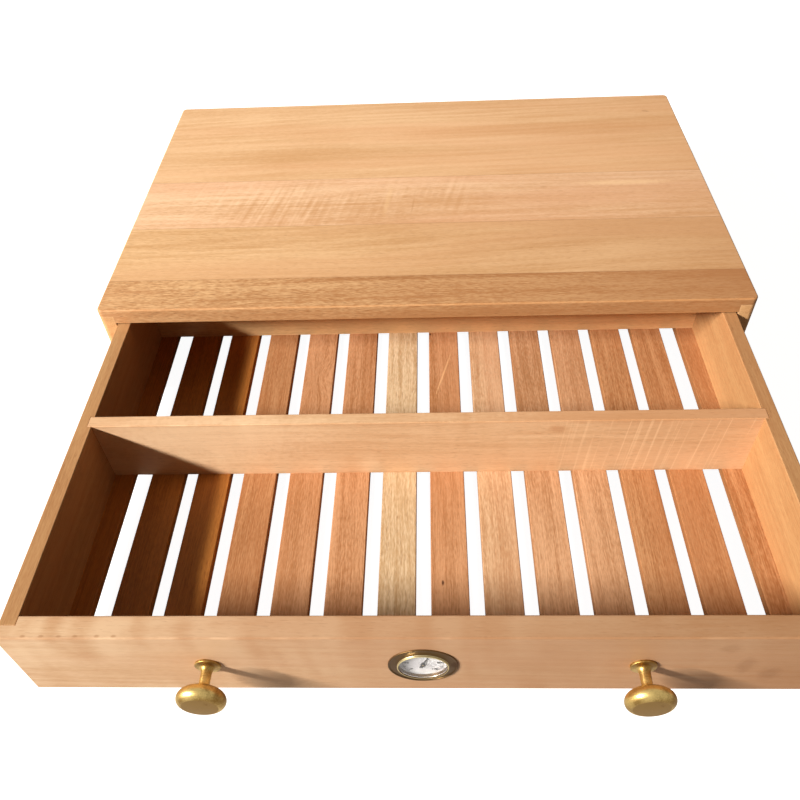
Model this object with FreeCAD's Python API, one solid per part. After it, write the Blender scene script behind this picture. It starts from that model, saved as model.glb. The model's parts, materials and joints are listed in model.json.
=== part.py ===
"""Wooden riser box with one wide, slatted drawer, brass knobs and a round insert gauge.

Millimetres. X runs to the right, Y runs from the front of the carcass to its back and Z runs up.
The origin is the centre of the carcass's footprint, on the surface that the box stands on.
The drawer is drawn open by drawer_open. Its own functions work in the drawer's frame, whose origin is
the middle of the front board's lower edge on its outer face, and place_in_carcass() moves them there.
"""
import FreeCAD, Part
import math
import os

Vector = FreeCAD.Vector

# Carcass
case_width = 460.0
case_depth = 298.0
top_thickness = 11.5
side_thickness = 11.0
lap_tongue = 5.5  # what is left of the top above the side boards and the back panel
back_thickness = 8.0
back_housing = 5.5  # how far the back panel reaches into each side board
front_board_width = 33.0
second_board_width = 65.0
third_board_width = 67.0
corner_radius = 4.0  # upright outer corners of the carcass
top_arris = 1.2  # rounded edge all round the top
foot_arris = 0.8  # rounded lower outer edge of the side boards
board_arris = 0.6  # lightly sanded edge of every other board

# Runners and the cross rail under the drawer
runner_width = 13.0
runner_height = 8.0
runner_setback = 3.0  # from the carcass's front edge to the end of a runner
rail_width = 60.0
rail_thickness = 8.0
rail_lap = 4.0  # how deep the rail is notched to pass under a runner

# Drawer
drawer_open = 239.0
drawer_height = 61.0
front_thickness = 12.7
front_shoulder = 5.6  # how far a drawer side reaches into the front board
drawer_side_thickness = 9.5
drawer_back_thickness = 10.0
back_shoulder = 4.0  # depth of the rebate in a side that takes the drawer back
divider_thickness = 8.5
divider_housing = 3.0  # depth of the upright housing in a side that takes the divider
tray_depth = 50.0  # from the drawer's top edge down to its slatted floor
front_arris = 1.0  # rounded edge round the outer face of the front board

# Slatted floor
full_slat_count = 12
slat_width = 22.4
slat_thickness = 5.5
edge_slat_width = 12.75  # the part of an edge slat that shows beside a drawer side
edge_gap = 12.4  # the open gap beside an edge slat
groove_depth = 5.0  # in the front board
side_groove_depth = 4.0
slat_end_gap = 0.5  # room left at the bottom of a groove
slat_setback = 1.0  # from the rear end of a slat to the outer face of the drawer back
pin_radius = 0.7
pin_head_radius = 1.3
pin_head_height = 0.8
pin_length = 17.0

# Running clearances
side_clearance = 1.0  # between a drawer side and a side board
runner_clearance = 0.3  # between the drawer and its runners
headroom = 1.2  # between the drawer and the top
stop_clearance = 0.3  # between the closed drawer and the back panel

# Turned knobs, measured outwards from the front board
knob_spacing = 228.0
knob_projection = 23.2
knob_head_radius = 13.0
knob_face_radius = 8.6
knob_face_dome = 0.4  # how far the middle of the face stands out
knob_rim_front = 4.2  # length of the rounding from the face to the widest place
knob_rim_back = 5.6  # length of the rounding from the widest place to the neck
knob_flange_radius = 7.0
knob_flange_thickness = 0.8
knob_flange_cove_radius = 5.6
knob_flange_cove_height = 1.5
knob_base_cove_length = 4.0
knob_waist_radius = 2.9
knob_flare_length = 3.0
knob_neck_radius = 5.2  # where the flare of the stem meets the back of the head

# Screws and washers
knob_screw_radius = 2.0
knob_screw_grip = 8.0  # length of thread inside the knob
knob_bore_spare = 1.0
knob_screw_head_radius = 3.75
knob_screw_head_height = 2.4
knob_screw_head_arris = 0.8
washer_radius = 4.5
washer_thickness = 0.8
through_hole_clearance = 0.2
thread_clearance = 0.05
wood_screw_radius = 1.5
wood_screw_head_radius = 2.6
wood_screw_head_height = 1.5
wood_screw_tip_radius = 0.3
wood_screw_recess = 0.2  # how deep a countersunk head sits below the wood
runner_screw_length = 19.0
rail_screw_length = 9.0
runner_screw_inset = 34.0  # from the ends of the carcass to the outer screws of a runner
runner_screw_offset = 8.0  # from the edge of the rail to the inner screws of a runner
rail_screw_spacing = 36.0
screw_slot_width = 0.7
screw_slot_depth = 0.6

# Round insert gauge, measured outwards from the front board
bezel_radius = 18.5
bezel_edge = 0.3  # upright rim of the flange
bezel_bead_width = 1.0
bezel_bead_height = 0.7
bezel_cove_floor = 0.35
bezel_cove_height = 1.1  # where the hollow of the flange meets the raised ring
bezel_ring_radius = 12.8  # inner wall of the raised ring
bezel_ring_wall = 0.8
bezel_ring_height = 1.8
bezel_ring_chamfer = 0.2
housing_radius = 15.0
housing_wall = 0.8
housing_step = 0.8  # the ledge that carries the movement plate
housing_length = 11.0
vent_count = 6
vent_radius = 1.3
vent_circle_radius = 8.5
sleeve_wall = 0.4
sleeve_rib = 0.7
sleeve_rib_pitch = 2.5
sleeve_rib_count = 3
sleeve_setback = 1.5
sleeve_length = 8.0
lens_thickness = 0.8
lens_setback = 0.6  # from the front of the ring to the lens
dial_recess = 1.2  # from the board's outer face back to the dial
dial_thickness = 0.4
dial_hole_radius = 1.0
plate_thickness = 0.8
bearing_radius = 1.5
bearing_length = 2.0
arbor_radius = 0.5
arbor_clearance = 0.05
arbor_collar_radius = 1.0
arbor_collar_length = 3.4
axial_play = 0.3  # between the turning pieces and what holds them endways
fit_clearance = 0.05

# Pointer
pointer_rest_angle = 18.0  # degrees clockwise from the top of the dial
pointer_length = 9.6
pointer_tail = 4.0
pointer_thickness = 0.3
pointer_hub_radius = 1.3
pointer_hub_height = 0.7
pointer_root_width = 1.1
pointer_tip_width = 0.3
pointer_tail_width = 2.0

# Moisture-sensitive coil and its stud
coil_clearance = 0.3  # between the collar and the first turn
coil_pitch = 1.6
coil_half_turns = 10
coil_strip_thickness = 0.3
coil_strip_width = 2.8
stud_radius = 0.9
stud_spare = 0.3  # how far the stud reaches past the coil

# Two lengths closer than this are the same
same_length = 1e-6

# Worked out from the sizes above
half_width = case_width / 2
half_depth = case_depth / 2
bay_half_width = half_width - side_thickness
runner_bottom = rail_thickness - rail_lap
runner_top = runner_bottom + runner_height
drawer_bottom = runner_top + runner_clearance
case_height = drawer_bottom + drawer_height + headroom + top_thickness
lap_height = case_height - lap_tongue
drawer_half_width = bay_half_width - side_clearance
drawer_length = case_depth - back_thickness - stop_clearance
tray_half_width = drawer_half_width - drawer_side_thickness
tray_back = drawer_length - drawer_back_thickness
compartment_length = (tray_back - front_thickness - divider_thickness) / 2
floor_top = drawer_height - tray_depth
floor_bottom = floor_top - slat_thickness
slats_half_width = tray_half_width - edge_slat_width - edge_gap
slat_gap = (2 * slats_half_width - full_slat_count * slat_width) / (full_slat_count - 1)
slat_tongue = groove_depth - slat_end_gap
edge_slat_tongue = side_groove_depth - slat_end_gap
fittings_height = drawer_height / 2
gauge_bore_radius = housing_radius + sleeve_wall + sleeve_rib + 2 * fit_clearance
housing_inner_radius = housing_radius - housing_wall
plate_front = -dial_recess - dial_thickness
plate_back = plate_front - plate_thickness
bearing_back = plate_back - bearing_length
coil_front = bearing_back - axial_play
coil_back = coil_front - coil_strip_width
coil_inner_radius = arbor_collar_radius + coil_clearance + coil_pitch / 4
pointer_back = -dial_recess + axial_play


def block(x_low, x_high, y_low, y_high, z_low, z_high):
    """A rectangular solid between two opposite corners."""
    return Part.makeBox(x_high - x_low, y_high - y_low, z_high - z_low, Vector(x_low, y_low, z_low))


def near(first, second):
    """Whether two lengths are the same."""
    return math.isclose(first, second, abs_tol=same_length)


def ease(shape, radius, wanted):
    """Round every edge whose middle passes a test."""
    picked = [edge for edge in shape.Edges if wanted(edge.CenterOfMass)]
    return shape.makeFillet(radius, picked)


def ease_top(board, height):
    """Lightly round the upper edges of a board."""
    return ease(board, board_arris, lambda point: near(point.z, height))


def mirrored(shape):
    """The left-hand twin of a right-hand piece."""
    return shape.mirror(Vector(0, 0, 0), Vector(1, 0, 0))


def rod(radius, start, direction, length):
    """A round bar from a point along a direction."""
    return Part.makeCylinder(radius, length, start, direction)


def place_in_carcass(shape):
    """Move a piece from the drawer's frame to its place in the opened box."""
    return shape.translated(Vector(0, -half_depth - drawer_open, drawer_bottom))


def at_fitting(shape, x=0.0):
    """Move a turned piece to its place along the front board."""
    return shape.translated(Vector(x, 0, fittings_height))


def outline_point(radius, out):
    """A point of a turned outline: its radius and how far it stands out of the front board."""
    return Vector(radius, -out, 0)


def side(start, end):
    """A straight side of a turned outline, between two (radius, out) points."""
    return Part.makeLine(outline_point(*start), outline_point(*end))


def sweep(start, corner, end):
    """A curved side that leaves its start towards a corner and reaches its end from it."""
    curve = Part.BezierCurve()
    curve.setPoles([outline_point(*start), outline_point(*corner), outline_point(*end)])
    return curve.toShape()


def turned(sides):
    """Spin a closed outline round the axis of the fitting."""
    face = Part.Face(Part.Wire(sides))
    return face.revolve(Vector(0, 0, 0), Vector(0, 1, 0), 360)


def turned_polygon(points):
    """Spin a closed outline with straight sides, given by its (radius, out) points."""
    return turned([side(start, end) for start, end in zip(points, points[1:] + points[:1])])


# Screws


def driver_slot(head_radius, start, direction):
    """The slot that is cut across a screw's head."""
    slot = block(-screw_slot_width / 2, screw_slot_width / 2, -head_radius, head_radius, 0, screw_slot_depth)
    slot.Placement = FreeCAD.Placement(start, FreeCAD.Rotation(Vector(0, 0, 1), direction))
    return slot


def wood_screw(start, direction, length):
    """A slotted countersunk screw with the top of its head at a point."""
    tip_length = wood_screw_radius
    tip_start = start + direction * (length - tip_length)
    head = Part.makeCone(wood_screw_head_radius, wood_screw_radius, wood_screw_head_height, start, direction)
    shank = rod(wood_screw_radius, start, direction, length - tip_length)
    tip = Part.makeCone(wood_screw_radius, wood_screw_tip_radius, tip_length, tip_start, direction)
    screw = head.fuse([shank, tip]).removeSplitter()
    return screw.cut(driver_slot(wood_screw_head_radius, start, direction))


def wood_screw_hole(start, direction, length):
    """The countersunk hole for a wood screw, with the recess above its head."""
    wide = wood_screw_head_radius + thread_clearance
    narrow = wood_screw_radius + thread_clearance
    recess = rod(wide, start - direction * wood_screw_recess, direction, wood_screw_recess)
    cone = Part.makeCone(wide, narrow, wood_screw_head_height, start, direction)
    shaft = rod(narrow, start, direction, length + thread_clearance)
    return recess.fuse([cone, shaft])


def runner_screw_starts():
    """Where the heads of the right-hand runner's screws lie."""
    x = bay_half_width - runner_width + wood_screw_recess
    z = runner_bottom + runner_height / 2
    inner = rail_width / 2 + runner_screw_offset
    outer = half_depth - runner_screw_inset
    return [Vector(x, y, z) for y in (-outer, -inner, inner, outer)]


def rail_screw_starts():
    """Where the heads of the two screws at the right-hand end of the rail lie."""
    x = bay_half_width - runner_width / 2
    reach = rail_screw_spacing / 2
    return [Vector(x, y, wood_screw_recess) for y in (-reach, reach)]


def right_screw_holes():
    """Every wood screw hole on the right-hand side of the carcass."""
    holes = [wood_screw_hole(start, Vector(1, 0, 0), runner_screw_length) for start in runner_screw_starts()]
    holes += [wood_screw_hole(start, Vector(0, 0, 1), rail_screw_length) for start in rail_screw_starts()]
    return holes


def runner_screws():
    """The screws that hold both runners to the side boards."""
    right = [wood_screw(start, Vector(1, 0, 0), runner_screw_length) for start in runner_screw_starts()]
    return Part.makeCompound(right + [mirrored(screw) for screw in right])


def rail_screws():
    """The screws that hold the cross rail up to both runners."""
    right = [wood_screw(start, Vector(0, 0, 1), rail_screw_length) for start in rail_screw_starts()]
    return Part.makeCompound(right + [mirrored(screw) for screw in right])


# Carcass


def on_upright_corner(point):
    """Whether a point is on one of the carcass's four upright corners."""
    return near(abs(point.x), half_width) and near(abs(point.y), half_depth)


def top_panel():
    """The glued top before it is divided into boards, lapped over the sides and the back."""
    top_bottom = case_height - top_thickness
    panel = block(-half_width, half_width, -half_depth, half_depth, top_bottom, case_height)
    panel = ease(panel, corner_radius, on_upright_corner)
    panel = ease(panel, top_arris, lambda point: near(point.z, case_height))
    right_lap = block(bay_half_width, half_width, -half_depth, half_depth, top_bottom, lap_height)
    back_start = half_depth - back_thickness
    back_lap = block(-bay_half_width, bay_half_width, back_start, half_depth, top_bottom, lap_height)
    return panel.cut([right_lap, mirrored(right_lap), back_lap])


def top_boards():
    """The four boards of the top, edge to edge from the front to the back."""
    panel = top_panel()
    seams = [-half_depth]
    for width in (front_board_width, second_board_width, third_board_width):
        seams.append(seams[-1] + width)
    seams.append(half_depth)
    names = ("top_board_front", "top_board_second", "top_board_third", "top_board_rear")
    boards = {}
    for name, front, back in zip(names, seams, seams[1:]):
        strip = block(-half_width, half_width, front, back, 0, case_height)
        boards[name] = panel.common(strip)
    return boards


def side_board():
    """The right side board, which is also the right leg, with its rebate for the back panel."""
    board = block(bay_half_width, half_width, -half_depth, half_depth, 0, lap_height)
    board = ease(board, corner_radius, on_upright_corner)
    board = ease(board, foot_arris, lambda point: near(point.z, 0) and point.x > bay_half_width + foot_arris)
    rebate = block(
        bay_half_width, bay_half_width + back_housing, half_depth - back_thickness, half_depth, 0, lap_height
    )
    return board.cut([rebate] + right_screw_holes())


def back_panel():
    """The upright back, housed in the sides and under the top."""
    reach = bay_half_width + back_housing
    return block(-reach, reach, half_depth - back_thickness, half_depth, 0, lap_height)


def runner():
    """The right-hand strip that the drawer's side slides on."""
    inner = bay_half_width - runner_width
    front = -half_depth + runner_setback
    strip = block(inner, bay_half_width, front, half_depth - back_thickness, runner_bottom, runner_top)
    strip = ease(strip, board_arris, lambda point: near(point.x, inner) and near(point.z, runner_top))
    return strip.cut(right_screw_holes())


def cross_rail():
    """The rail that ties the two legs, notched at both ends to pass under the runners."""
    reach = rail_width / 2
    rail = block(-bay_half_width, bay_half_width, -reach, reach, 0, rail_thickness)
    inner = bay_half_width - runner_width
    notch = block(inner, bay_half_width, -reach, reach, runner_bottom, rail_thickness)
    holes = right_screw_holes()
    return rail.cut([notch, mirrored(notch)] + holes + [mirrored(hole) for hole in holes])


# Drawer


def floor_groove(x_low, x_high, y_low, y_high):
    """The groove for the slats, between two corners in plan."""
    return block(x_low, x_high, y_low, y_high, floor_bottom, floor_top)


def knob_places():
    """How far left and right of the middle the knobs stand."""
    return (-knob_spacing / 2, knob_spacing / 2)


def drawer_front():
    """The front board, rebated over the sides, grooved for the floor and bored for its fittings."""
    width = drawer_half_width
    board = block(-width, width, 0, front_thickness, 0, drawer_height)
    board = ease(board, front_arris, lambda point: near(point.y, 0))
    board = ease(board, board_arris, lambda point: near(point.y, front_thickness) and near(point.z, drawer_height))
    shoulder = block(
        tray_half_width, width, front_thickness - front_shoulder, front_thickness, 0, drawer_height
    )
    groove = floor_groove(
        -tray_half_width, tray_half_width, front_thickness - groove_depth, front_thickness
    )
    bore = at_fitting(rod(gauge_bore_radius, Vector(0, 0, 0), Vector(0, 1, 0), front_thickness))
    screw_hole_radius = knob_screw_radius + through_hole_clearance
    screw_hole = rod(screw_hole_radius, Vector(0, 0, 0), Vector(0, 1, 0), front_thickness)
    screw_holes = [at_fitting(screw_hole, x) for x in knob_places()]
    return board.cut([shoulder, mirrored(shoulder), groove, bore] + screw_holes)


def drawer_side():
    """The right side of the drawer, worked for the floor, the divider and the drawer back."""
    front = front_thickness - front_shoulder
    inner = tray_half_width
    board = block(inner, drawer_half_width, front, drawer_length, 0, drawer_height)
    board = ease(board, board_arris, lambda point: near(point.z, drawer_height))
    groove = floor_groove(inner, inner + side_groove_depth, front, drawer_length)
    divider_front = front_thickness + compartment_length
    housing = block(
        inner, inner + divider_housing, divider_front, divider_front + divider_thickness, floor_top, drawer_height
    )
    rebate = block(inner, inner + back_shoulder, tray_back, drawer_length, floor_top, drawer_height)
    return board.cut([groove, housing, rebate])


def pin_starts():
    """Where the heads of the pins lie, one in the middle of every slat."""
    y = tray_back + drawer_back_thickness / 2
    return [Vector((left + right) / 2, y, floor_bottom) for left, right in slat_spans()]


def floor_pin(start, spare=0.0):
    """A headed pin that points up from a place, or with some spare the hole for it."""
    up = Vector(0, 0, 1)
    head = rod(pin_head_radius + spare, start, up, pin_head_height)
    return head.fuse(rod(pin_radius + spare, start, up, pin_length + spare)).removeSplitter()


def floor_pins():
    """The pins that hold the slats up to the drawer back."""
    return Part.makeCompound([floor_pin(start) for start in pin_starts()])


def drawer_back():
    """The back of the drawer, let into the sides, which stands on the ends of the slats."""
    reach = tray_half_width + back_shoulder
    board = block(-reach, reach, tray_back, drawer_length, floor_top, drawer_height)
    board = ease_top(board, drawer_height)
    return board.cut([floor_pin(start, thread_clearance) for start in pin_starts()])


def drawer_divider():
    """The cross board that halves the tray, level with the sides and housed in them."""
    reach = tray_half_width + divider_housing
    front = front_thickness + compartment_length
    board = block(-reach, reach, front, front + divider_thickness, floor_top, drawer_height)
    return ease_top(board, drawer_height)


def slat_spans():
    """The left and right edges of every slat, from the left of the drawer to the right."""
    edge_inner = slats_half_width + edge_gap
    edge_outer = tray_half_width + edge_slat_tongue
    spans = [(-edge_outer, -edge_inner)]
    for count in range(full_slat_count):
        left = -slats_half_width + count * (slat_width + slat_gap)
        spans.append((left, left + slat_width))
    spans.append((edge_inner, edge_outer))
    return spans


def floor_slats():
    """The slats, which run from the groove in the front board to under the drawer back."""
    front = front_thickness - slat_tongue
    back = drawer_length - slat_setback
    slats = {}
    for number, ((left, right), start) in enumerate(zip(slat_spans(), pin_starts()), start=1):
        slat = block(left, right, front, back, floor_bottom, floor_top)
        slat = ease_top(slat, floor_top)
        slats[f"floor_slat_{number:02d}"] = slat.cut(floor_pin(start, thread_clearance))
    return slats


# Knobs


def quarter(radius, out, reach, length, start, end):
    """A quarter of an ellipse around a (radius, out) point, between two angles."""
    return Part.ArcOfEllipse(Part.Ellipse(outline_point(radius, out), reach, length), start, end).toShape()


def knob_head(neck_out):
    """The outline of the head, from the middle of its slightly domed face to the neck."""
    face_edge = (knob_face_radius, knob_projection - knob_face_dome)
    widest = neck_out + knob_rim_back
    rim_reach = knob_head_radius - knob_face_radius
    back_reach = knob_head_radius - knob_neck_radius
    return [
        sweep((0, knob_projection), (knob_face_radius / 2, knob_projection), face_edge),
        quarter(knob_face_radius, widest, rim_reach, knob_rim_front, -math.pi / 2, 0),
        quarter(knob_neck_radius, widest, back_reach, knob_rim_back, 0, math.pi / 2),
    ]


def knob():
    """A turned knob: flange, waisted stem and a thick round head with a flattened face."""
    bore_radius = knob_screw_radius + thread_clearance
    bore_depth = knob_screw_grip + knob_bore_spare
    neck_out = knob_projection - knob_face_dome - knob_rim_front - knob_rim_back
    rim = (knob_flange_radius, knob_flange_thickness)
    cove_start = (knob_flange_cove_radius, knob_flange_cove_height)
    waist_start = (knob_waist_radius, knob_flange_cove_height + knob_base_cove_length)
    waist_end = (knob_waist_radius, neck_out - knob_flare_length)
    sides = [
        side((bore_radius, 0), (knob_flange_radius, 0)),
        side((knob_flange_radius, 0), rim),
        sweep(rim, (knob_flange_radius, knob_flange_cove_height), cove_start),
        sweep(cove_start, (knob_waist_radius, knob_flange_cove_height), waist_start),
        side(waist_start, waist_end),
        sweep(waist_end, (knob_waist_radius, neck_out), (knob_neck_radius, neck_out)),
        *reversed(knob_head(neck_out)),
        side((0, knob_projection), (0, bore_depth)),
        side((0, bore_depth), (bore_radius, bore_depth)),
        side((bore_radius, bore_depth), (bore_radius, 0)),
    ]
    return turned(sides)


def knob_screw():
    """A slotted pan-head machine screw from inside the drawer into a knob."""
    seat = -front_thickness - washer_thickness
    crown = seat - knob_screw_head_height
    flat_radius = knob_screw_head_radius - knob_screw_head_arris
    shoulder = crown + knob_screw_head_arris
    sides = [
        side((0, crown), (flat_radius, crown)),
        sweep((flat_radius, crown), (knob_screw_head_radius, crown), (knob_screw_head_radius, shoulder)),
        side((knob_screw_head_radius, shoulder), (knob_screw_head_radius, seat)),
        side((knob_screw_head_radius, seat), (knob_screw_radius, seat)),
        side((knob_screw_radius, seat), (knob_screw_radius, knob_screw_grip)),
        side((knob_screw_radius, knob_screw_grip), (0, knob_screw_grip)),
        side((0, knob_screw_grip), (0, crown)),
    ]
    slot = driver_slot(knob_screw_head_radius, outline_point(0, crown), Vector(0, -1, 0))
    return turned(sides).cut(slot)


def washer():
    """A plain washer between a knob screw and the front board."""
    hole_radius = knob_screw_radius + through_hole_clearance
    near_face = -front_thickness
    far_face = near_face - washer_thickness
    return turned_polygon(
        [(hole_radius, near_face), (washer_radius, near_face), (washer_radius, far_face), (hole_radius, far_face)]
    )


def pair(fitting):
    """Two copies of a fitting, one at each knob."""
    return Part.makeCompound([at_fitting(fitting, x) for x in knob_places()])


# Gauge


def gauge_bezel():
    """The brass flange with its hollowed face, outer bead and raised ring."""
    skirt_radius = housing_inner_radius - fit_clearance
    ring_outer = bezel_ring_radius + bezel_ring_wall
    bead_top = (bezel_radius - bezel_bead_width / 2, bezel_bead_height)
    bead_foot = (bezel_radius - bezel_bead_width, bezel_cove_floor)
    ring_top = bezel_ring_height - bezel_ring_chamfer
    outer_lip = ring_outer - bezel_ring_chamfer
    inner_lip = bezel_ring_radius + bezel_ring_chamfer
    sides = [
        side((bezel_ring_radius, plate_front), (skirt_radius, plate_front)),
        side((skirt_radius, plate_front), (skirt_radius, 0)),
        side((skirt_radius, 0), (bezel_radius, 0)),
        side((bezel_radius, 0), (bezel_radius, bezel_edge)),
        sweep((bezel_radius, bezel_edge), (bezel_radius, bezel_bead_height), bead_top),
        sweep(bead_top, (bead_foot[0], bezel_bead_height), bead_foot),
        sweep(bead_foot, (ring_outer, bezel_cove_floor), (ring_outer, bezel_cove_height)),
        side((ring_outer, bezel_cove_height), (ring_outer, ring_top)),
        side((ring_outer, ring_top), (outer_lip, bezel_ring_height)),
        side((outer_lip, bezel_ring_height), (inner_lip, bezel_ring_height)),
        side((inner_lip, bezel_ring_height), (bezel_ring_radius, ring_top)),
        side((bezel_ring_radius, ring_top), (bezel_ring_radius, plate_front)),
    ]
    return turned(sides)


def gauge_housing():
    """The cup behind the bezel, with a ledge for the movement and vents in its back."""
    ledge_radius = housing_inner_radius - housing_step
    floor = -housing_length + housing_wall
    cup = turned_polygon(
        [
            (0, -housing_length),
            (housing_radius, -housing_length),
            (housing_radius, 0),
            (housing_inner_radius, 0),
            (housing_inner_radius, plate_back),
            (ledge_radius, plate_back),
            (ledge_radius, floor),
            (0, floor),
        ]
    )
    vent = rod(vent_radius, outline_point(vent_circle_radius, floor), Vector(0, 1, 0), housing_wall)
    turn = 360 / vent_count
    vents = [vent.rotated(Vector(0, 0, 0), Vector(0, 1, 0), index * turn) for index in range(vent_count)]
    return cup.cut(vents)


def gauge_sleeve():
    """The ribbed sleeve that grips the bore of the front board."""
    inner = housing_radius + fit_clearance
    outer = inner + sleeve_wall
    crest = outer + sleeve_rib
    front = -sleeve_setback
    back = front - sleeve_length
    points = [(inner, back), (inner, front), (outer, front)]
    for index in range(sleeve_rib_count):
        rib = front - (index + 0.5) * sleeve_rib_pitch
        points += [(outer, rib + sleeve_rib), (crest, rib), (outer, rib - sleeve_rib)]
    points.append((outer, back))
    return turned_polygon(points)


def disc(radius, hole_radius, front, back):
    """A flat ring between two distances out of the front board."""
    return turned_polygon([(hole_radius, front), (radius, front), (radius, back), (hole_radius, back)])


def gauge_lens():
    """The clear disc inside the raised ring."""
    front = bezel_ring_height - lens_setback
    radius = bezel_ring_radius - fit_clearance
    return rod(radius, outline_point(0, front), Vector(0, 1, 0), lens_thickness)


def gauge_dial():
    """The dial plate, with a hole for the arbor."""
    return disc(bezel_ring_radius - fit_clearance, dial_hole_radius, -dial_recess, plate_front)


def gauge_plate():
    """The movement plate with its bearing tube, clamped between the bezel and the cup's ledge."""
    bearing_bore = arbor_radius + arbor_clearance
    rim = housing_inner_radius - fit_clearance
    return turned_polygon(
        [
            (bearing_bore, plate_front),
            (rim, plate_front),
            (rim, plate_back),
            (bearing_radius, plate_back),
            (bearing_radius, bearing_back),
            (bearing_bore, bearing_back),
        ]
    )


def gauge_arbor():
    """The thin shaft of the pointer, with the collar that the coil winds round."""
    front = pointer_back + pointer_hub_height
    collar_back = coil_front - arbor_collar_length
    return turned_polygon(
        [
            (0, front),
            (arbor_radius, front),
            (arbor_radius, coil_front),
            (arbor_collar_radius, coil_front),
            (arbor_collar_radius, collar_back),
            (0, collar_back),
        ]
    )


def spiral(extra):
    """A flat spiral of half circles that swap between two centres, widened by a constant."""
    arcs = []
    for index in range(coil_half_turns):
        radius = coil_inner_radius + index * coil_pitch / 2 + extra
        heading = 1 if index % 2 == 0 else -1
        centre = -heading * coil_pitch / 4
        start = Vector(centre + heading * radius, 0, 0)
        middle = Vector(centre, 0, heading * radius)
        end = Vector(centre - heading * radius, 0, 0)
        arcs.append(Part.Arc(start, middle, end).toShape())
    return arcs


def coil_end():
    """Where the middle of the strip ends, measured along X from the arbor."""
    last_radius = coil_inner_radius + (coil_half_turns - 1) * coil_pitch / 2
    return coil_pitch / 4 + last_radius + coil_strip_thickness / 2


def gauge_coil():
    """The spiral strip, from close round the arbor's collar out to its stud."""
    inner = spiral(0)
    outer = spiral(coil_strip_thickness)
    first_start = inner[0].firstVertex(True).Point
    second_start = outer[0].firstVertex(True).Point
    first_end = inner[-1].lastVertex(True).Point
    second_end = outer[-1].lastVertex(True).Point
    ends = [Part.makeLine(first_start, second_start), Part.makeLine(first_end, second_end)]
    outline = Part.Wire(Part.__sortEdges__(inner + outer + ends))
    strip = Part.Face(outline).extrude(Vector(0, coil_strip_width, 0))
    return strip.translated(outline_point(0, coil_front))


def gauge_stud():
    """The stud on the movement plate whose slot holds the outer end of the coil."""
    length = plate_back - coil_back + stud_spare
    stud = rod(stud_radius, Vector(coil_end(), -plate_back, 0), Vector(0, 1, 0), length)
    half_slot = coil_strip_thickness / 2 + fit_clearance
    slot = block(
        coil_end() - half_slot, coil_end() + half_slot, -coil_front, -coil_back + stud_spare, -stud_radius, stud_radius
    )
    return stud.cut(slot)


def gauge_pointer():
    """The tapered pointer with its hub and counterweight tail."""
    half_root = pointer_root_width / 2
    half_tip = pointer_tip_width / 2
    half_tail = pointer_tail_width / 2
    corners = [
        Vector(-half_root, 0, 0),
        Vector(-half_tip, 0, pointer_length),
        Vector(half_tip, 0, pointer_length),
        Vector(half_root, 0, 0),
        Vector(half_tail, 0, -pointer_tail),
        Vector(-half_tail, 0, -pointer_tail),
    ]
    blade = Part.Face(Part.makePolygon(corners + corners[:1])).extrude(Vector(0, -pointer_thickness, 0))
    blade.translate(outline_point(0, pointer_back))
    hub = rod(pointer_hub_radius, outline_point(0, pointer_back), Vector(0, -1, 0), pointer_hub_height)
    hole = rod(arbor_radius, outline_point(0, pointer_back), Vector(0, -1, 0), pointer_hub_height)
    hand = blade.fuse(hub).cut(hole).removeSplitter()
    return hand.rotated(Vector(0, 0, 0), Vector(0, 1, 0), pointer_rest_angle)


# Assembly


def carcass_nodes():
    """Every piece that stands still."""
    nodes = top_boards()
    nodes["side_board_right"] = side_board()
    nodes["side_board_left"] = mirrored(side_board())
    nodes["back_panel"] = back_panel()
    nodes["runner_right"] = runner()
    nodes["runner_left"] = mirrored(runner())
    nodes["runner_screws"] = runner_screws()
    nodes["cross_rail"] = cross_rail()
    nodes["rail_screws"] = rail_screws()
    return nodes


def drawer_nodes():
    """Every piece that slides with the drawer, the gauge's pointer included."""
    left_knob, right_knob = knob_places()
    nodes = floor_slats()
    nodes["drawer_front"] = drawer_front()
    nodes["drawer_side_right"] = drawer_side()
    nodes["drawer_side_left"] = mirrored(drawer_side())
    nodes["drawer_back"] = drawer_back()
    nodes["drawer_divider"] = drawer_divider()
    nodes["floor_pins"] = floor_pins()
    nodes["knob_left"] = at_fitting(knob(), left_knob)
    nodes["knob_right"] = at_fitting(knob(), right_knob)
    nodes["knob_screws"] = pair(knob_screw())
    nodes["knob_washers"] = pair(washer())
    nodes["gauge_bezel"] = at_fitting(gauge_bezel())
    nodes["gauge_housing"] = at_fitting(gauge_housing())
    nodes["gauge_sleeve"] = at_fitting(gauge_sleeve())
    nodes["gauge_lens"] = at_fitting(gauge_lens())
    nodes["gauge_dial"] = at_fitting(gauge_dial())
    nodes["gauge_plate"] = at_fitting(gauge_plate())
    nodes["gauge_stud"] = at_fitting(gauge_stud())
    nodes["gauge_coil"] = at_fitting(gauge_coil())
    nodes["gauge_arbor"] = at_fitting(gauge_arbor())
    nodes["gauge_pointer"] = at_fitting(gauge_pointer())
    return {name: place_in_carcass(shape) for name, shape in nodes.items()}


def main():
    """Write each named piece to its own STEP file."""
    os.makedirs("parts", exist_ok=True)
    nodes = carcass_nodes()
    nodes.update(drawer_nodes())
    for name, shape in nodes.items():
        solids = shape.Solids
        piece = solids[0] if len(solids) == 1 else Part.makeCompound(solids)
        piece.exportStep(os.path.join("parts", name + ".step"))
        print(f"{name}: {len(solids)} solid, valid {piece.isValid()}, {piece.Volume:.1f} mm3")


main()
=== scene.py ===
"""Finish, light and camera for a low wooden box with one wide drawer.

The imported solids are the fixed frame. Each board, slat and fitting gets its own procedural
finish here, and the print on the gauge's dial, which is too fine for the solids, is made here.
All lengths are in metres, in the frame of the solids: X runs to the right, Y to the rear and
Z up, and the box stands on Z = 0 with its drawer pulled out towards -Y.
"""

from __future__ import annotations

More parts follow.
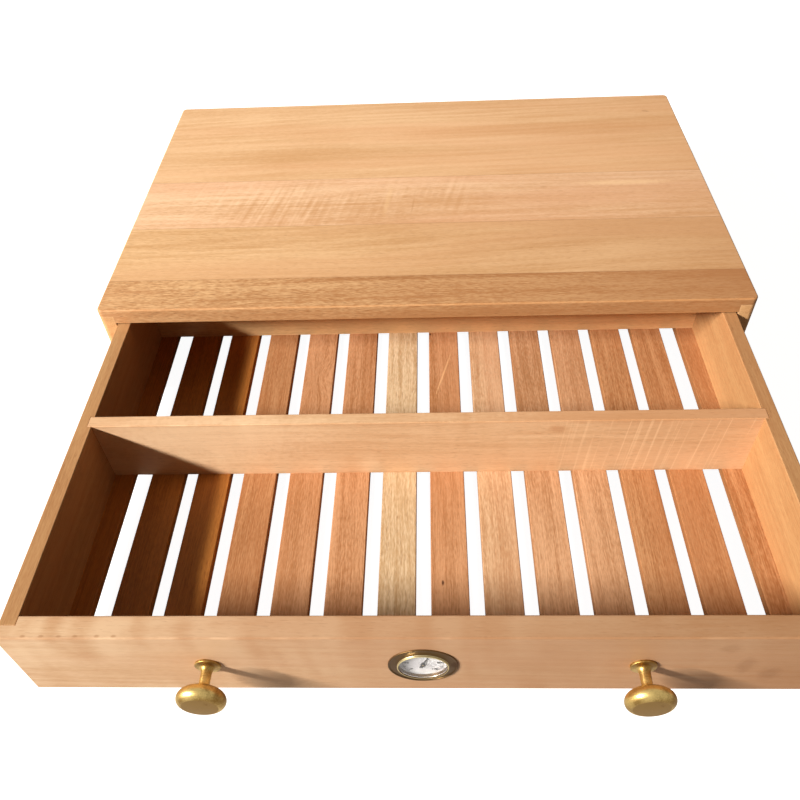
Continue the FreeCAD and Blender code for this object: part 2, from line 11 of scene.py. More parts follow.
import json
import logging
import math
from collections.abc import Iterator, Mapping
from dataclasses import dataclass, replace
from enum import Enum

import bmesh
import bpy
from mathutils import Euler, Matrix, Vector

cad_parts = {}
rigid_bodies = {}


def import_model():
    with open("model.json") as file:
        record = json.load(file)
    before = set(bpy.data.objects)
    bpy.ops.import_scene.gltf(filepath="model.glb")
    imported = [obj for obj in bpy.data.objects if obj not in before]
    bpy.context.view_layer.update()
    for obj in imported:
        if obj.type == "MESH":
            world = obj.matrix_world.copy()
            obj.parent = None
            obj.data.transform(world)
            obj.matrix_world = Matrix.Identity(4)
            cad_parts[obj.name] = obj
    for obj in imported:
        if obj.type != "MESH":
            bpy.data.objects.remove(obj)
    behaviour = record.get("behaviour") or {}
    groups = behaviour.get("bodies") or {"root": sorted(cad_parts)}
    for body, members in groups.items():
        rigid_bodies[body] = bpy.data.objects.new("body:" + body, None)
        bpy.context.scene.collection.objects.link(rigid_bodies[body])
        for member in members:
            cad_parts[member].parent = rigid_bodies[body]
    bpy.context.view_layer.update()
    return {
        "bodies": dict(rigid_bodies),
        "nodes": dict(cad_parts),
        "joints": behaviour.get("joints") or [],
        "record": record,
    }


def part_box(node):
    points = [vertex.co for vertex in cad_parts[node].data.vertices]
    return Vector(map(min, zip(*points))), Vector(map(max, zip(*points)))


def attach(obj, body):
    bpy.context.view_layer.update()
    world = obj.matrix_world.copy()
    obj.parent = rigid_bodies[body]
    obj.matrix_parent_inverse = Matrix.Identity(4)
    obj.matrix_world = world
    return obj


LOG = logging.getLogger("drawer_box")
MM = 0.001
FULL_TURN = 2 * math.pi
QUARTER_TURN = math.pi / 2
VALUE = "NodeSocketFloat"
VECTOR = "NodeSocketVector"
COLOUR = "NodeSocketColor"
FAR = 1.0  # A distance that is beyond every piece, for an edge or a face that is not there.

# The numbers of the colour sockets of Blender's mix node, whose names are not unique.
MIX_FIRST = 6
MIX_SECOND = 7
MIX_RESULT = 2

Node = bpy.types.Node
Socket = bpy.types.NodeSocket
Tree = bpy.types.NodeTree
Material = bpy.types.Material
Mesh = bpy.types.Mesh
Piece = bpy.types.Object
Colour = tuple[float, float, float, float]
Triple = tuple[float, float, float]
Pair = tuple[float, float]
Source = object  # A socket or a plain value, from which an input is fed.
Feeds = Mapping[int | str, Source]
Sockets = Mapping[int | str, Socket]
WHITE: Colour = (1.0, 1.0, 1.0, 1.0)


def tint(red: int, green: int, blue: int) -> Colour:
    """Turns a colour from a chart into the linear values that shaders use.

    Args:
        red: The chart's red, from 0 to 255.
        green: The chart's green, from 0 to 255.
        blue: The chart's blue, from 0 to 255.

    Returns:
        The colour, with full opacity.
    """

    def linear(step: int) -> float:
        """Undoes the chart's gamma curve for one of the three numbers."""
        share = step / 255
        return share / 12.92 if share <= 0.04045 else ((share + 0.055) / 1.055) ** 2.4

    return (linear(red), linear(green), linear(blue), 1.0)


@dataclass(frozen=True)
class Waves:
    """Noise that is drawn out along the grain.

    Attributes:
        along: How many waves a metre holds along X.
        across: How many waves a metre holds along Y and Z.
        detail: How many finer layers lie on the first.
        rise: The values that become 0 and 1, or None where the noise stays around 0.5.
    """

    along: float
    across: float
    detail: float = 2.0
    rise: Pair | None = None


class NodeBench:
    """Adds nodes to one node tree and links them.

    Attributes:
        tree: The shader or geometry tree that is being built.
    """

    def __init__(self, tree: Tree) -> None:
        """Starts work on a tree."""
        self.tree = tree

    def feed(self, node: Node, sources: Feeds) -> None:
        """Feeds a node's inputs.

        Args:
            node: The node.
            sources: The socket or plain value that each input gets, under its name or number.
        """
        for key, source in sources.items():
            if isinstance(source, Socket):
                self.tree.links.new(source, node.inputs[key])
            else:
                node.inputs[key].default_value = source

    def add(self, kind: str, sources: Feeds | None = None, **settings: object) -> Node:
        """Adds a node.

        Args:
            kind: Blender's own name of the node type.
            sources: The socket or plain value that each input gets.
            **settings: The node's plain properties, such as its operation.

        Returns:
            The new node.
        """
        node = self.tree.nodes.new(kind)
        for name, value in settings.items():
            setattr(node, name, value)
        self.feed(node, sources or {})
        return node

    def math(self, operation: str, *sources: Source) -> Socket:
        """Adds one step of arithmetic and returns its result."""
        return self.add("ShaderNodeMath", dict(enumerate(sources)), operation=operation).outputs[0]

    def plus(self, first: Source, second: Source) -> Socket:
        """Returns a sum."""
        return self.math("ADD", first, second)

    def minus(self, first: Source, second: Source) -> Socket:
        """Returns a difference."""
        return self.math("SUBTRACT", first, second)

    def times(self, product: Source, *factors: Source) -> Source:
        """Multiplies values, from left to right.

        Args:
            product: The first value.
            *factors: The values to multiply it by.

        Returns:
            The product.
        """
        for factor in factors:
            product = self.math("MULTIPLY", product, factor)
        return product

    def squares(self, first: Source, second: Source) -> Socket:
        """Returns the sum of two squares."""
        return self.plus(self.times(first, first), self.times(second, second))

    def vector(self, operation: str, *sources: Source) -> Socket:
        """Adds one step of vector arithmetic and returns its vector."""
        step = self.add("ShaderNodeVectorMath", dict(enumerate(sources)), operation=operation)
        return step.outputs[0]

    def join(self, along: Source, across: Source, up: Source = 0.0) -> Socket:
        """Returns the vector that has these X, Y and Z."""
        return self.add("ShaderNodeCombineXYZ", {0: along, 1: across, 2: up}).outputs[0]

    def parts(self, place: Source) -> tuple[Socket, ...]:
        """Returns the X, Y and Z of a vector as three values."""
        return tuple(self.add("ShaderNodeSeparateXYZ", {0: place}).outputs)

    def ease(self, value: Source, low: Source, high: Source) -> Socket:
        """Returns a smooth step from 0 at low to 1 at high."""
        sources = {"Value": value, "From Min": low, "From Max": high}
        return self.add("ShaderNodeMapRange", sources, interpolation_type="SMOOTHSTEP").outputs[0]

    def window(
        self, value: Source, start: Source, end: Source, outside: float, inside: float
    ) -> Socket:
        """Returns 1 between a start and an end and 0 elsewhere, with soft edges.

        Args:
            value: The value that is looked at.
            start: Where the window starts.
            end: Where the window ends.
            outside: How far each soft edge reaches out of the window.
            inside: How far each soft edge reaches into the window.

        Returns:
            The mask.
        """
        rise = self.ease(value, self.minus(start, outside), self.plus(start, inside))
        fall = self.ease(value, self.minus(end, inside), self.plus(end, outside))
        return self.minus(rise, fall)

    def noise(self, place: Source, waves: Waves) -> Socket:
        """Adds noise.

        Args:
            place: Coordinates in metres.
            waves: How the noise is drawn out and how it is eased.

        Returns:
            The noise, from 0 to 1.
        """
        stretched = self.vector("MULTIPLY", place, (waves.along, waves.across, waves.across))
        sources = {"Vector": stretched, "Scale": 1.0, "Detail": waves.detail}
        noise = self.add("ShaderNodeTexNoise", sources).outputs[0]
        return noise if waves.rise is None else self.ease(noise, *waves.rise)

    def mix(self, share: Source, first: Source, second: Source) -> Socket:
        """Blends two colours.

        Args:
            share: How much of the second colour there is, from 0 to 1.
            first: The first colour.
            second: The second colour.

        Returns:
            The blend.
        """
        sources = {0: share, MIX_FIRST: first, MIX_SECOND: second}
        return self.add("ShaderNodeMix", sources, data_type="RGBA").outputs[MIX_RESULT]


class Effect:
    """A shader effect that several finishes share, kept as one node group.

    A subclass names its inputs and outputs, by kind, and draws the nodes between them.
    """

    label = ""
    inputs: dict[str, tuple[str, ...]] = {}
    outputs: dict[str, tuple[str, ...]] = {}

    def draw(self, bench: NodeBench, given: Sockets) -> Feeds:
        """Draws the effect.

        Args:
            bench: The group's nodes.
            given: The group's inputs.

        Returns:
            What each of the group's outputs gets.
        """
        raise NotImplementedError

    def group(self) -> Tree:
        """Returns the node group, which is built the first time that it is asked for."""
        made = bpy.data.node_groups.get(self.label)
        if made is not None:
            return made
        made = bpy.data.node_groups.new(self.label, "ShaderNodeTree")
        for direction, kinds in (("INPUT", self.inputs), ("OUTPUT", self.outputs)):
            for kind, names in kinds.items():
                for name in names:
                    made.interface.new_socket(name, in_out=direction, socket_type=kind)
        bench = NodeBench(made)
        given = bench.add("NodeGroupInput").outputs
        bench.add("NodeGroupOutput", self.draw(bench, given))
        return made

    def place(self, bench: NodeBench, finish: object = None, **values: Source) -> Sockets:
        """Puts the effect in a material.

        Args:
            bench: The material's nodes.
            finish: A record whose fields feed the inputs that have the same names.
            **values: What the other inputs get. Names are in lower case with underscores.

        Returns:
            The effect's outputs.
        """
        node = bench.add("ShaderNodeGroup", node_tree=self.group())
        for socket in node.inputs:
            name = socket.name.lower().replace(" ", "_")
            source = values[name] if name in values else getattr(finish, name)
            bench.feed(node, {socket.name: source})
        return node.outputs


class TimberGrain(Effect):
    """Figure, streaks, fibres, flecks and pores of a board whose grain runs along X."""

    label = "Timber Grain"
    inputs = {
        VECTOR: ("Place", "Knot"),
        COLOUR: ("Pale", "Deep", "Blush", "Pore"),
        VALUE: (
            "Ring Spacing",
            "Ring Depth",
            "Heart Below",
            "Heart Tilt",
            "Wander",
            "Shift",
            "Band Depth",
            "Streak Depth",
            "Fleck Depth",
            "Cloud Depth",
            "Pore Depth",
            "Knot Bend",
        ),
    }
    outputs = {COLOUR: ("Wood",), VALUE: ("Roughness", "Relief")}

    drift = Waves(1.6, 6.0)
    ring_drift = Waves(3.0, 55.0)
    ring_patch = Waves(4.0, 30.0, rise=(0.3, 0.7))
    band = Waves(1.3, 46.0, 3.0)
    streak = Waves(6.0, 250.0, 4.0)
    fibre = Waves(30.0, 1100.0)
    fleck = Waves(240.0, 1150.0, 1.0)
    cloud = Waves(5.0, 12.0, 3.0)
    blush = Waves(3.0, 22.0, 3.0, (0.42, 0.66))
    pore = Waves(160.0, 1700.0, 1.0, (0.60, 0.72))
    blush_share = 0.5
    ring_wobble = 3.0
    knot_reach = (70.0, 130.0, 130.0)
    roughness = (0.24, 0.38)

    def bent(self, bench: NodeBench, given: Sockets) -> Socket:
        """Bends the grain with a slow wander, and around a knot.

        Args:
            bench: The group's nodes.
            given: The group's inputs.

        Returns:
            The bent place.
        """
        place = given["Place"]
        sway = bench.times(bench.minus(bench.noise(place, self.drift), 0.5), given["Wander"])
        away = bench.vector("SUBTRACT", place, given["Knot"])
        along, across, _up = bench.parts(bench.vector("MULTIPLY", away, self.knot_reach))
        near = bench.math("EXPONENT", bench.times(bench.squares(along, across), -1.0))
        bend = bench.times(near, given["Knot Bend"])
        shift = bench.join(0.0, bench.plus(sway, bench.times(bend, across)))
        return bench.vector("ADD", place, shift)

    def rings(self, bench: NodeBench, given: Sockets, place: Socket) -> Socket:
        """Draws the growth rings around a heart that lies below the board.

        Args:
            bench: The group's nodes.
            given: The group's inputs.
            place: The bent place.

        Returns:
            The rings, from -1 to 1.
        """
        along, across, up = bench.parts(place)
        side = bench.minus(across, bench.times(along, given["Heart Tilt"]))
        deep = bench.plus(up, given["Heart Below"])
        distance = bench.math("SQRT", bench.squares(side, deep))
        turns = bench.math("DIVIDE", distance, given["Ring Spacing"])
        uneven = bench.times(bench.noise(place, self.ring_drift), self.ring_wobble)
        phase = bench.times(bench.plus(turns, uneven), FULL_TURN)
        return bench.times(bench.math("SINE", phase), bench.noise(place, self.ring_patch))

    def draw(self, bench: NodeBench, given: Sockets) -> Feeds:
        """Adds the layers of the grain up to a tone and colours it.

        Args:
            bench: The group's nodes.
            given: The group's inputs.

        Returns:
            The wood's colour, roughness and relief.
        """
        place = self.bent(bench, given)
        streak = bench.noise(place, self.streak)
        fibre = bench.noise(place, self.fibre)
        layers = (
            (bench.noise(place, self.band), "Band Depth"),
            (streak, "Streak Depth"),
            (fibre, "Streak Depth"),
            (bench.noise(place, self.fleck), "Fleck Depth"),
            (bench.noise(place, self.cloud), "Cloud Depth"),
        )
        tone = bench.plus(given["Shift"], 0.5)
        tone = bench.plus(tone, bench.times(self.rings(bench, given, place), given["Ring Depth"]))
        for layer, depth in layers:
            tone = bench.plus(tone, bench.times(bench.minus(layer, 0.5), given[depth]))
        wood = bench.mix(bench.ease(tone, 0.0, 1.0), given["Pale"], given["Deep"])
        blush = bench.times(bench.noise(place, self.blush), self.blush_share)
        wood = bench.mix(blush, wood, given["Blush"])
        pore = bench.noise(place, self.pore)
        wood = bench.mix(bench.times(pore, given["Pore Depth"]), wood, given["Pore"])
        return {
            "Wood": wood,
            "Roughness": bench.math("MULTIPLY_ADD", streak, *self.roughness),
            "Relief": bench.minus(bench.plus(fibre, streak), pore),
        }


class Fiddleback(Effect):
    """Curly figure: uneven light and dark bands that cross the grain at a slant."""

    label = "Fiddleback"
    inputs = {VECTOR: ("Place",), VALUE: ("Band", "Slant", "Start", "End", "Depth")}
    outputs = {VALUE: ("Shift",)}

    band = Waves(1.0, 1.0, 1.0)
    patch = Waves(16.0, 30.0, rise=(0.3, 0.7))
    length_waves = 11.0
    fade = 0.03

    def draw(self, bench: NodeBench, given: Sockets) -> Feeds:
        """Draws noise that is long across the grain, between two places along X.

        Args:
            bench: The group's nodes.
            given: The group's inputs.

        Returns:
            How much darker the bands make the wood.
        """
        along, across, up = bench.parts(given["Place"])
        slanted = bench.minus(along, bench.times(across, given["Slant"]))
        stretched = bench.join(
            bench.math("DIVIDE", slanted, given["Band"]),
            bench.times(across, self.length_waves),
            bench.times(up, self.length_waves),
        )
        bands = bench.minus(bench.noise(stretched, self.band), 0.5)
        window = bench.window(along, given["Start"], given["End"], 0.0, self.fade)
        patchy = bench.noise(given["Place"], self.patch)
        return {"Shift": bench.times(bands, window, patchy, given["Depth"])}


class ToolMarks(Effect):
    """Thin pale lines that a saw or a sander left across the grain of one face at a slant."""

    label = "Tool Marks"
    inputs = {VECTOR: ("Place",), VALUE: ("Slant", "Start", "End", "Face", "Depth")}
    outputs = {VALUE: ("Mask",)}

    line = Waves(560.0, 9.0, rise=(0.53, 0.7))
    fade = 0.02
    skin = 0.3 * MM

    def draw(self, bench: NodeBench, given: Sockets) -> Feeds:
        """Draws noise that is long along the slant and thin across it.

        Args:
            bench: The group's nodes.
            given: The group's inputs.

        Returns:
            The mask of the lines.
        """
        along, across, up = bench.parts(given["Place"])
        slanted = bench.minus(along, bench.times(across, given["Slant"]))
        thin = bench.noise(bench.join(slanted, across, up), self.line)
        window = bench.window(along, given["Start"], given["End"], self.fade, self.fade)
        inside = bench.ease(up, given["Face"], bench.plus(given["Face"], self.skin))
        on_face = bench.times(window, bench.minus(1.0, inside))
        return {"Mask": bench.times(thin, on_face, given["Depth"])}


class Spot(Effect):
    """A soft oval spot, such as a pin knot, a mineral streak or a short scratch."""

    label = "Spot"
    inputs = {VECTOR: ("Place", "Centre", "Turn", "Size")}
    outputs = {VALUE: ("Mask",)}

    edge = Waves(300.0, 300.0)
    raggedness = 0.6
    rim = (0.6, 1.3)

    def draw(self, bench: NodeBench, given: Sockets) -> Feeds:
        """Measures the distance to the spot's centre in shares of its size.

        Args:
            bench: The group's nodes.
            given: The group's inputs.

        Returns:
            The mask of the spot.
        """
        away = bench.vector("SUBTRACT", given["Place"], given["Centre"])
        turn = {"Vector": away, "Rotation": given["Turn"]}
        turned = bench.add("ShaderNodeVectorRotate", turn, rotation_type="EULER_XYZ").outputs[0]
        share = bench.vector("DIVIDE", turned, given["Size"])
        reach = bench.add("ShaderNodeVectorMath", {0: share}, operation="LENGTH").outputs["Value"]
        ragged = bench.math("MULTIPLY_ADD", bench.noise(away, self.edge), self.raggedness, reach)
        return {"Mask": bench.minus(1.0, bench.ease(ragged, *self.rim))}


class ShadeRampEffect(Effect):
    """A mask of painted shade that grows along a board towards its darker end."""

    label = "Painted Shade Ramp"
    inputs = {VECTOR: ("Place",), VALUE: ("Start", "End", "Depth")}
    outputs = {VALUE: ("Mask",)}

    cloud = Waves(9.0, 30.0)
    cloud_tones = (0.5, 0.75)

    def draw(self, bench: NodeBench, given: Sockets) -> Feeds:
        """Draws a ramp along X, with soft clouds in it.

        Args:
            bench: The group's nodes.
            given: The group's inputs.

        Returns:
            The mask of the painted shade.
        """
        along, _across, _up = bench.parts(given["Place"])
        ends = {"Value": along, "From Min": given["Start"], "From Max": given["End"]}
        ramp = bench.add("ShaderNodeMapRange", ends).outputs[0]
        cloud = bench.noise(given["Place"], self.cloud)
        tone = bench.math("MULTIPLY_ADD", cloud, *self.cloud_tones)
        return {"Mask": bench.times(ramp, bench.times(tone, given["Depth"]))}


class ArrisWearAndShade(Effect):
    """A mask that is 1 along the arrises of a box-shaped board and patchy. Pale arris tones are
    rubbed edges; dark ones are painted shade.
    """

    label = "Arris Wear And Shade"
    inputs = {VECTOR: ("Place", "Low", "High"), VALUE: ("Wear Reach",)}
    outputs = {VALUE: ("Mask",)}

    patch = Waves(60.0, 60.0, 3.0, (0.25, 0.6))

    def draw(self, bench: NodeBench, given: Sockets) -> Feeds:
        """Takes the second smallest distance to the board's faces, which is 0 on an arris.

        Args:
            bench: The group's nodes.
            given: The group's inputs.

        Returns:
            The mask of the arris tone.
        """
        place = given["Place"]
        inward = bench.vector(
            "MINIMUM",
            bench.vector("SUBTRACT", place, given["Low"]),
            bench.vector("SUBTRACT", given["High"], place),
        )
        first, second, third = bench.parts(inward)
        smaller = bench.math("MINIMUM", first, second)
        larger = bench.math("MAXIMUM", first, second)
        to_arris = bench.math("MAXIMUM", smaller, bench.math("MINIMUM", larger, third))
        near = bench.minus(1.0, bench.ease(to_arris, 0.0, given["Wear Reach"]))
        return {"Mask": bench.times(near, bench.noise(place, self.patch))}


class GlueLineAndShade(Effect):
    """A mask for the thin dark line along a board's long edges: a glue line between the top's boards,
    painted shade on a slat's left side face.
    """

    label = "Glue Line And Shade"
    inputs = {VECTOR: ("Place",), VALUE: ("Low", "High", "Width")}
    outputs = {VALUE: ("Mask",)}

    def draw(self, bench: NodeBench, given: Sockets) -> Feeds:
        """Measures how near a point is to either long edge, along Y.

        Args:
            bench: The group's nodes.
            given: The group's inputs.

        Returns:
            The mask of the line.
        """
        _along, across, _up = bench.parts(given["Place"])
        from_low = bench.minus(across, given["Low"])
        from_high = bench.minus(given["High"], across)
        inward = bench.math("MINIMUM", from_low, from_high)
        return {"Mask": bench.minus(1.0, bench.ease(inward, 0.0, given["Width"]))}


class TurnedSurface(Effect):
    """Fine rings left by a lathe around the Y axis, with clouds of tarnish over them.

    The flat face in front of Face Front is darker and duller, and the bead between Bead Inner and
    Bead Outer is rubbed bright. A share of painted reflection shade darkens all but the bead.
    """

    label = "Turned Surface"
    inputs = {
        VECTOR: ("Place",),
        COLOUR: ("Bright", "Tarnished"),
        VALUE: ("Smooth", "Rough", "Patina", "Face Front", "Bead Inner", "Bead Outer"),
    }
    outputs = {COLOUR: ("Metal",), VALUE: ("Roughness", "Relief")}

    ring = Waves(2600.0, 2600.0)
    cloud = Waves(90.0, 90.0, 4.0)
    speck = Waves(1400.0, 1400.0, 1.0)
    speck_share = 0.2
    dull_rise = (0.4, 0.8)
    worn_rise = (0.7, 1.3)
    face_dullness = 0.85
    edge = 0.15 * MM

    def draw(self, bench: NodeBench, given: Sockets) -> Feeds:
        """Draws the rings from the distance to the axis and the place along it.

        Args:
            bench: The group's nodes.
            given: The group's inputs.

        Returns:
            The metal's colour, roughness and relief.
        """
        across, along, up = bench.parts(given["Place"])
        radius = bench.math("SQRT", bench.squares(across, up))
        rings = bench.noise(bench.join(radius, along), self.ring)
        cloud = bench.noise(given["Place"], self.cloud)
        specks = bench.noise(given["Place"], self.speck)
        front = given["Face Front"]
        face = bench.minus(1.0, bench.ease(along, front, bench.plus(front, self.edge)))
        bead = bench.window(radius, given["Bead Inner"], given["Bead Outer"], self.edge, 0.0)
        tarnish = bench.plus(cloud, bench.times(specks, self.speck_share))
        dull = bench.ease(tarnish, *self.dull_rise)
        dull = bench.math("MAXIMUM", dull, bench.times(face, self.face_dullness))
        dull = bench.math("MAXIMUM", dull, given["Patina"])
        dull = bench.times(dull, bench.minus(1.0, bead))
        worn = bench.math("MAXIMUM", bench.ease(bench.plus(cloud, rings), *self.worn_rise), face)
        ends = {0: worn, 2: given["Smooth"], 3: given["Rough"]}
        return {
            "Metal": bench.mix(dull, given["Bright"], given["Tarnished"]),
            "Roughness": bench.add("ShaderNodeMix", ends, data_type="FLOAT").outputs[0],
            "Relief": bench.plus(rings, specks),
        }


def new_material(name: str) -> tuple[Material, NodeBench, Node]:
    """Makes a material with a Principled shader and nothing else.

    Args:
        name: The material's name.

    Returns:
        The material, a bench for its nodes and the shader node.
    """
    material = bpy.data.materials.new(name)
    material.use_nodes = True
    material.node_tree.nodes.clear()
    bench = NodeBench(material.node_tree)
    shader = bench.add("ShaderNodeBsdfPrincipled")
    bench.add("ShaderNodeOutputMaterial", {"Surface": shader.outputs[0]})
    return material, bench, shader


def object_place(bench: NodeBench) -> Socket:
    """Returns the place of a point on its piece, in metres."""
    return bench.add("ShaderNodeTexCoord").outputs["Object"]


def raise_relief(
    bench: NodeBench, shader: Node, height: Source, strength: float, depth: float
) -> None:
    """Feeds a height to the shader's normal through a bump node.

    Args:
        bench: The material's nodes.
        shader: The Principled shader.
        height: The height, from 0 to about 1.
        strength: How strongly the light follows the height.
        depth: How deep the relief is, in metres.
    """
    sources = {"Strength": strength, "Distance": depth, "Height": height}
    bench.feed(shader, {"Normal": bench.add("ShaderNodeBump", sources).outputs[0]})


class Grain(Enum):
    """The direction in which a board's grain runs, as the turn that lays it along X."""

    ALONG_X = (0.0, 0.0, 0.0)
    ALONG_Y = (0.0, 0.0, -QUARTER_TURN)
    UPRIGHT_X = (QUARTER_TURN, 0.0, 0.0)
    UPRIGHT_Y = (0.0, -QUARTER_TURN, -QUARTER_TURN)


@dataclass(frozen=True)
class Stretch:
    """A stretch of a board, from one place to another in metres, and how strong its mark is."""

    start: float
    end: float
    depth: float


@dataclass(frozen=True)
class Curl(Stretch):
    """Where a board has fiddleback figure, with bands of a width in metres."""

    band: float
    slant: float


@dataclass(frozen=True)
class Strokes(Stretch):
    """Where a board has tool marks."""

    slant: float
    colour: Colour


@dataclass(frozen=True)
class ShadeRamp(Stretch):
    """Where painted shade darkens a board, from its start to its end."""

    colour: Colour


@dataclass(frozen=True)
class Blemish:
    """One natural mark in a board, at its place in the box's frame. Lengths are in metres."""

    centre: Triple
    size: Triple
    colour: Colour
    strength: float
    turn: float = 0.0


@dataclass(frozen=True)
class Figure:
    """What sets one board apart from others of its timber."""

    curl: Curl | None = None
    strokes: Strokes | None = None
    # Painted shade that darkens the board towards one end.
    tan: ShadeRamp | None = None
    blemishes: tuple[Blemish, ...] = ()
    knot: Triple | None = None
    # A dark line along the long edges: a glue line on the top's boards, painted shade on a slat's
    # left side face.
    glued: Pair | None = None
    glue_depth: float = 0.4


@dataclass(frozen=True)
class Timber:
    """One kind of board. Lengths are in metres."""

    pale: Colour
    deep: Colour
    blush: Colour
    pore: Colour = tint(120, 72, 36)
    # The arris tone: pale tones are rubbed edges, dark tones are painted shade over the light that
    # rounded arrises catch.
    worn: Colour = tint(240, 205, 160)
    ring_spacing: float = 8 * MM
    ring_depth: float = 0.1
    heart_below: float = 60 * MM
    heart_tilt: float = 0.05
    wander: float = 30 * MM
    band_depth: float = 0.6
    streak_depth: float = 0.6
    fleck_depth: float = 0.6
    cloud_depth: float = 0.9
    pore_depth: float = 0.2
    wear: float = 0.2
    wear_reach: float = 1.6 * MM
    glue_width: float = 0.5 * MM
    stroke_reach: float = 0.5 * MM
    knot_bend: float = 0.012
    plank_step: float = 1.37
    relief: Pair = (0.3, 0.2 * MM)
    sheen: float = 0.25

    def overlays(
        self,
        bench: NodeBench,
        here: Source,
        turned: Source,
        low: Vector,
        high: Vector,
        figure: Figure,
    ) -> Iterator[tuple[Source, Colour]]:
        """Draws what lies over the grain, from the lowest layer to the highest.

        Args:
            bench: The material's nodes.
            here: The place on the piece.
            turned: The place with the grain laid along X.
            low: The lowest corner of the box whose arrises are worn.
            high: The highest corner of that box.
            figure: What else this board shows.

        Yields:
            Each layer's mask and colour.
        """
        # Painted shade, growing towards one end of the board.
        if figure.tan is not None:
            ramped_shade = ShadeRampEffect().place(bench, figure.tan, place=here)
            yield ramped_shade["Mask"], figure.tan.colour
        if figure.strokes is not None:
            face = low.y + self.stroke_reach
            marks = ToolMarks().place(bench, figure.strokes, place=turned, face=face)
            yield marks["Mask"], figure.strokes.colour
        for blemish in figure.blemishes:
            turn = (0.0, 0.0, blemish.turn)
            spot = Spot().place(bench, blemish, place=here, turn=turn)
            yield bench.times(spot["Mask"], blemish.strength), blemish.colour
        # Arris tone: rubbed edges where pale, painted shade where dark.
        wear = ArrisWearAndShade().place(bench, self, place=here, low=low, high=high)
        yield bench.times(wear["Mask"], self.wear), self.worn
        # Glue lines between the top's boards; painted shade on the slats' left side faces.
        if figure.glued is not None:
            start, end = figure.glued
            line = GlueLineAndShade().place(bench, place=turned, low=start, high=end, width=self.glue_width)
            yield bench.times(line["Mask"], figure.glue_depth), self.pore

    def material(
        self,
        name: str,
        low: Vector,
        high: Vector,
        grain: Grain,
        seed: int,
        figure: Figure = Figure(),
    ) -> Material:
        """Makes the finish of one board.

        Args:
            name: The material's name.
            low: The lowest corner of the box whose arrises are worn.
            high: The highest corner of that box.
            grain: The direction of the grain.
            seed: A number that picks this board's own stretch of wood.
            figure: What else this board shows.

        Returns:
            The material.
        """
        material, bench, shader = new_material(name)
        here = object_place(bench)
        turn = Euler(grain.value)
        laid = {"Vector": here, "Rotation": turn}
        turned = bench.add("ShaderNodeMapping", laid, vector_type="POINT").outputs[0]
        middle = 0.5 * (low + high)
        knot = middle.copy() if figure.knot is None else Vector(figure.knot)
        middle.rotate(turn)
        knot.rotate(turn)
        start = Vector((self.plank_step * seed - middle.x, -middle.y, -middle.z))
        shift: Source = 0.0
        if figure.curl is not None:
            shift = Fiddleback().place(bench, figure.curl, place=turned)["Shift"]
        wood = TimberGrain().place(
            bench,
            self,
            place=bench.vector("ADD", turned, start),
            shift=shift,
            knot=start + knot,
            knot_bend=0.0 if figure.knot is None else self.knot_bend,
        )
        colour = wood["Wood"]
        for mask, over in self.overlays(bench, here, turned, low, high, figure):
            colour = bench.mix(mask, colour, over)
        bench.feed(shader, {"Base Color": colour, "Roughness": wood["Roughness"]})
        bench.feed(shader, {"Specular IOR Level": self.sheen})
        raise_relief(bench, shader, wood["Relief"], *self.relief)
        return material


@dataclass(frozen=True)
class TurnedMetal:
    """A metal that was turned on a lathe and has tarnished a little. Lengths are in metres."""

    bright: Colour
    tarnished: Colour
    smooth: float
    rough: float
    # The share of painted reflection shade that darkens all of the metal but the bead.
    patina: float = 0.0
    relief: Pair = (0.25, 0.05 * MM)

    def material(
        self, name: str, axis: Vector, face_front: float = -FAR, bead: Pair = (0.0, 0.0)
    ) -> Material:
        """Makes the finish of a fitting that was turned around a line along Y.

        Args:
            name: The material's name.
            axis: A point on that line.
            face_front: The Y, from that point, in front of which the metal is dull.
            bead: The radii between which the metal is rubbed bright.

        Returns:
            The material.
        """
        material, bench, shader = new_material(name)
        place = bench.vector("SUBTRACT", object_place(bench), axis)
        sizes = {"face_front": face_front, "bead_inner": bead[0], "bead_outer": bead[1]}
        metal = TurnedSurface().place(bench, self, place=place, **sizes)
        bench.feed(shader, {"Base Color": metal["Metal"], "Roughness": metal["Roughness"]})
        bench.feed(shader, {"Metallic": 1.0})
        raise_relief(bench, shader, metal["Relief"], *self.relief)
        return material


@dataclass(frozen=True)
class Coating:
    """A paint, print or rubber: a colour that is slightly clouded and finely grained."""

    colour: Colour
    shade: Colour
    roughness: float
    strength: float = 0.15
    depth: float = 0.03 * MM
    grit_share: float = 0.2
    cloud: Waves = Waves(100.0, 100.0, 3.0, (0.3, 0.75))
    grit: Waves = Waves(900.0, 900.0)

    def material(self, name: str) -> Material:
        """Makes the coating's material.

        Args:
            name: The material's name.

        Returns:
            The material.
        """
        material, bench, shader = new_material(name)
        place = object_place(bench)
        grit = bench.noise(place, self.grit)
        least = self.roughness - 0.5 * self.grit_share
        sources = {
            "Base Color": bench.mix(bench.noise(place, self.cloud), self.colour, self.shade),
            "Roughness": bench.math("MULTIPLY_ADD", grit, self.grit_share, least),
        }
        bench.feed(shader, sources)
        raise_relief(bench, shader, grit, self.strength, self.depth)
        return material


@dataclass(frozen=True)
class ClearPane:
    """A thin clear pane that is a little smeared."""

    colour: Colour = (0.97, 0.98, 0.97, 1.0)
    roughness: float = 0.01
    ior: float = 1.46
    smear: Waves = Waves(160.0, 160.0, 3.0)
    smear_depth: float = 0.03

    def material(self, name: str) -> Material:
        """Makes the pane's material.

        Args:
            name: The material's name.

        Returns:
            The material.
        """
        material, bench, shader = new_material(name)
        smear = bench.noise(object_place(bench), self.smear)
        rough = bench.math("MULTIPLY_ADD", smear, self.smear_depth, self.roughness)
        bench.feed(shader, {"Base Color": self.colour, "Roughness": rough, "IOR": self.ior})
        bench.feed(shader, {"Metallic": 0.0, "Transmission Weight": 1.0})
        return material


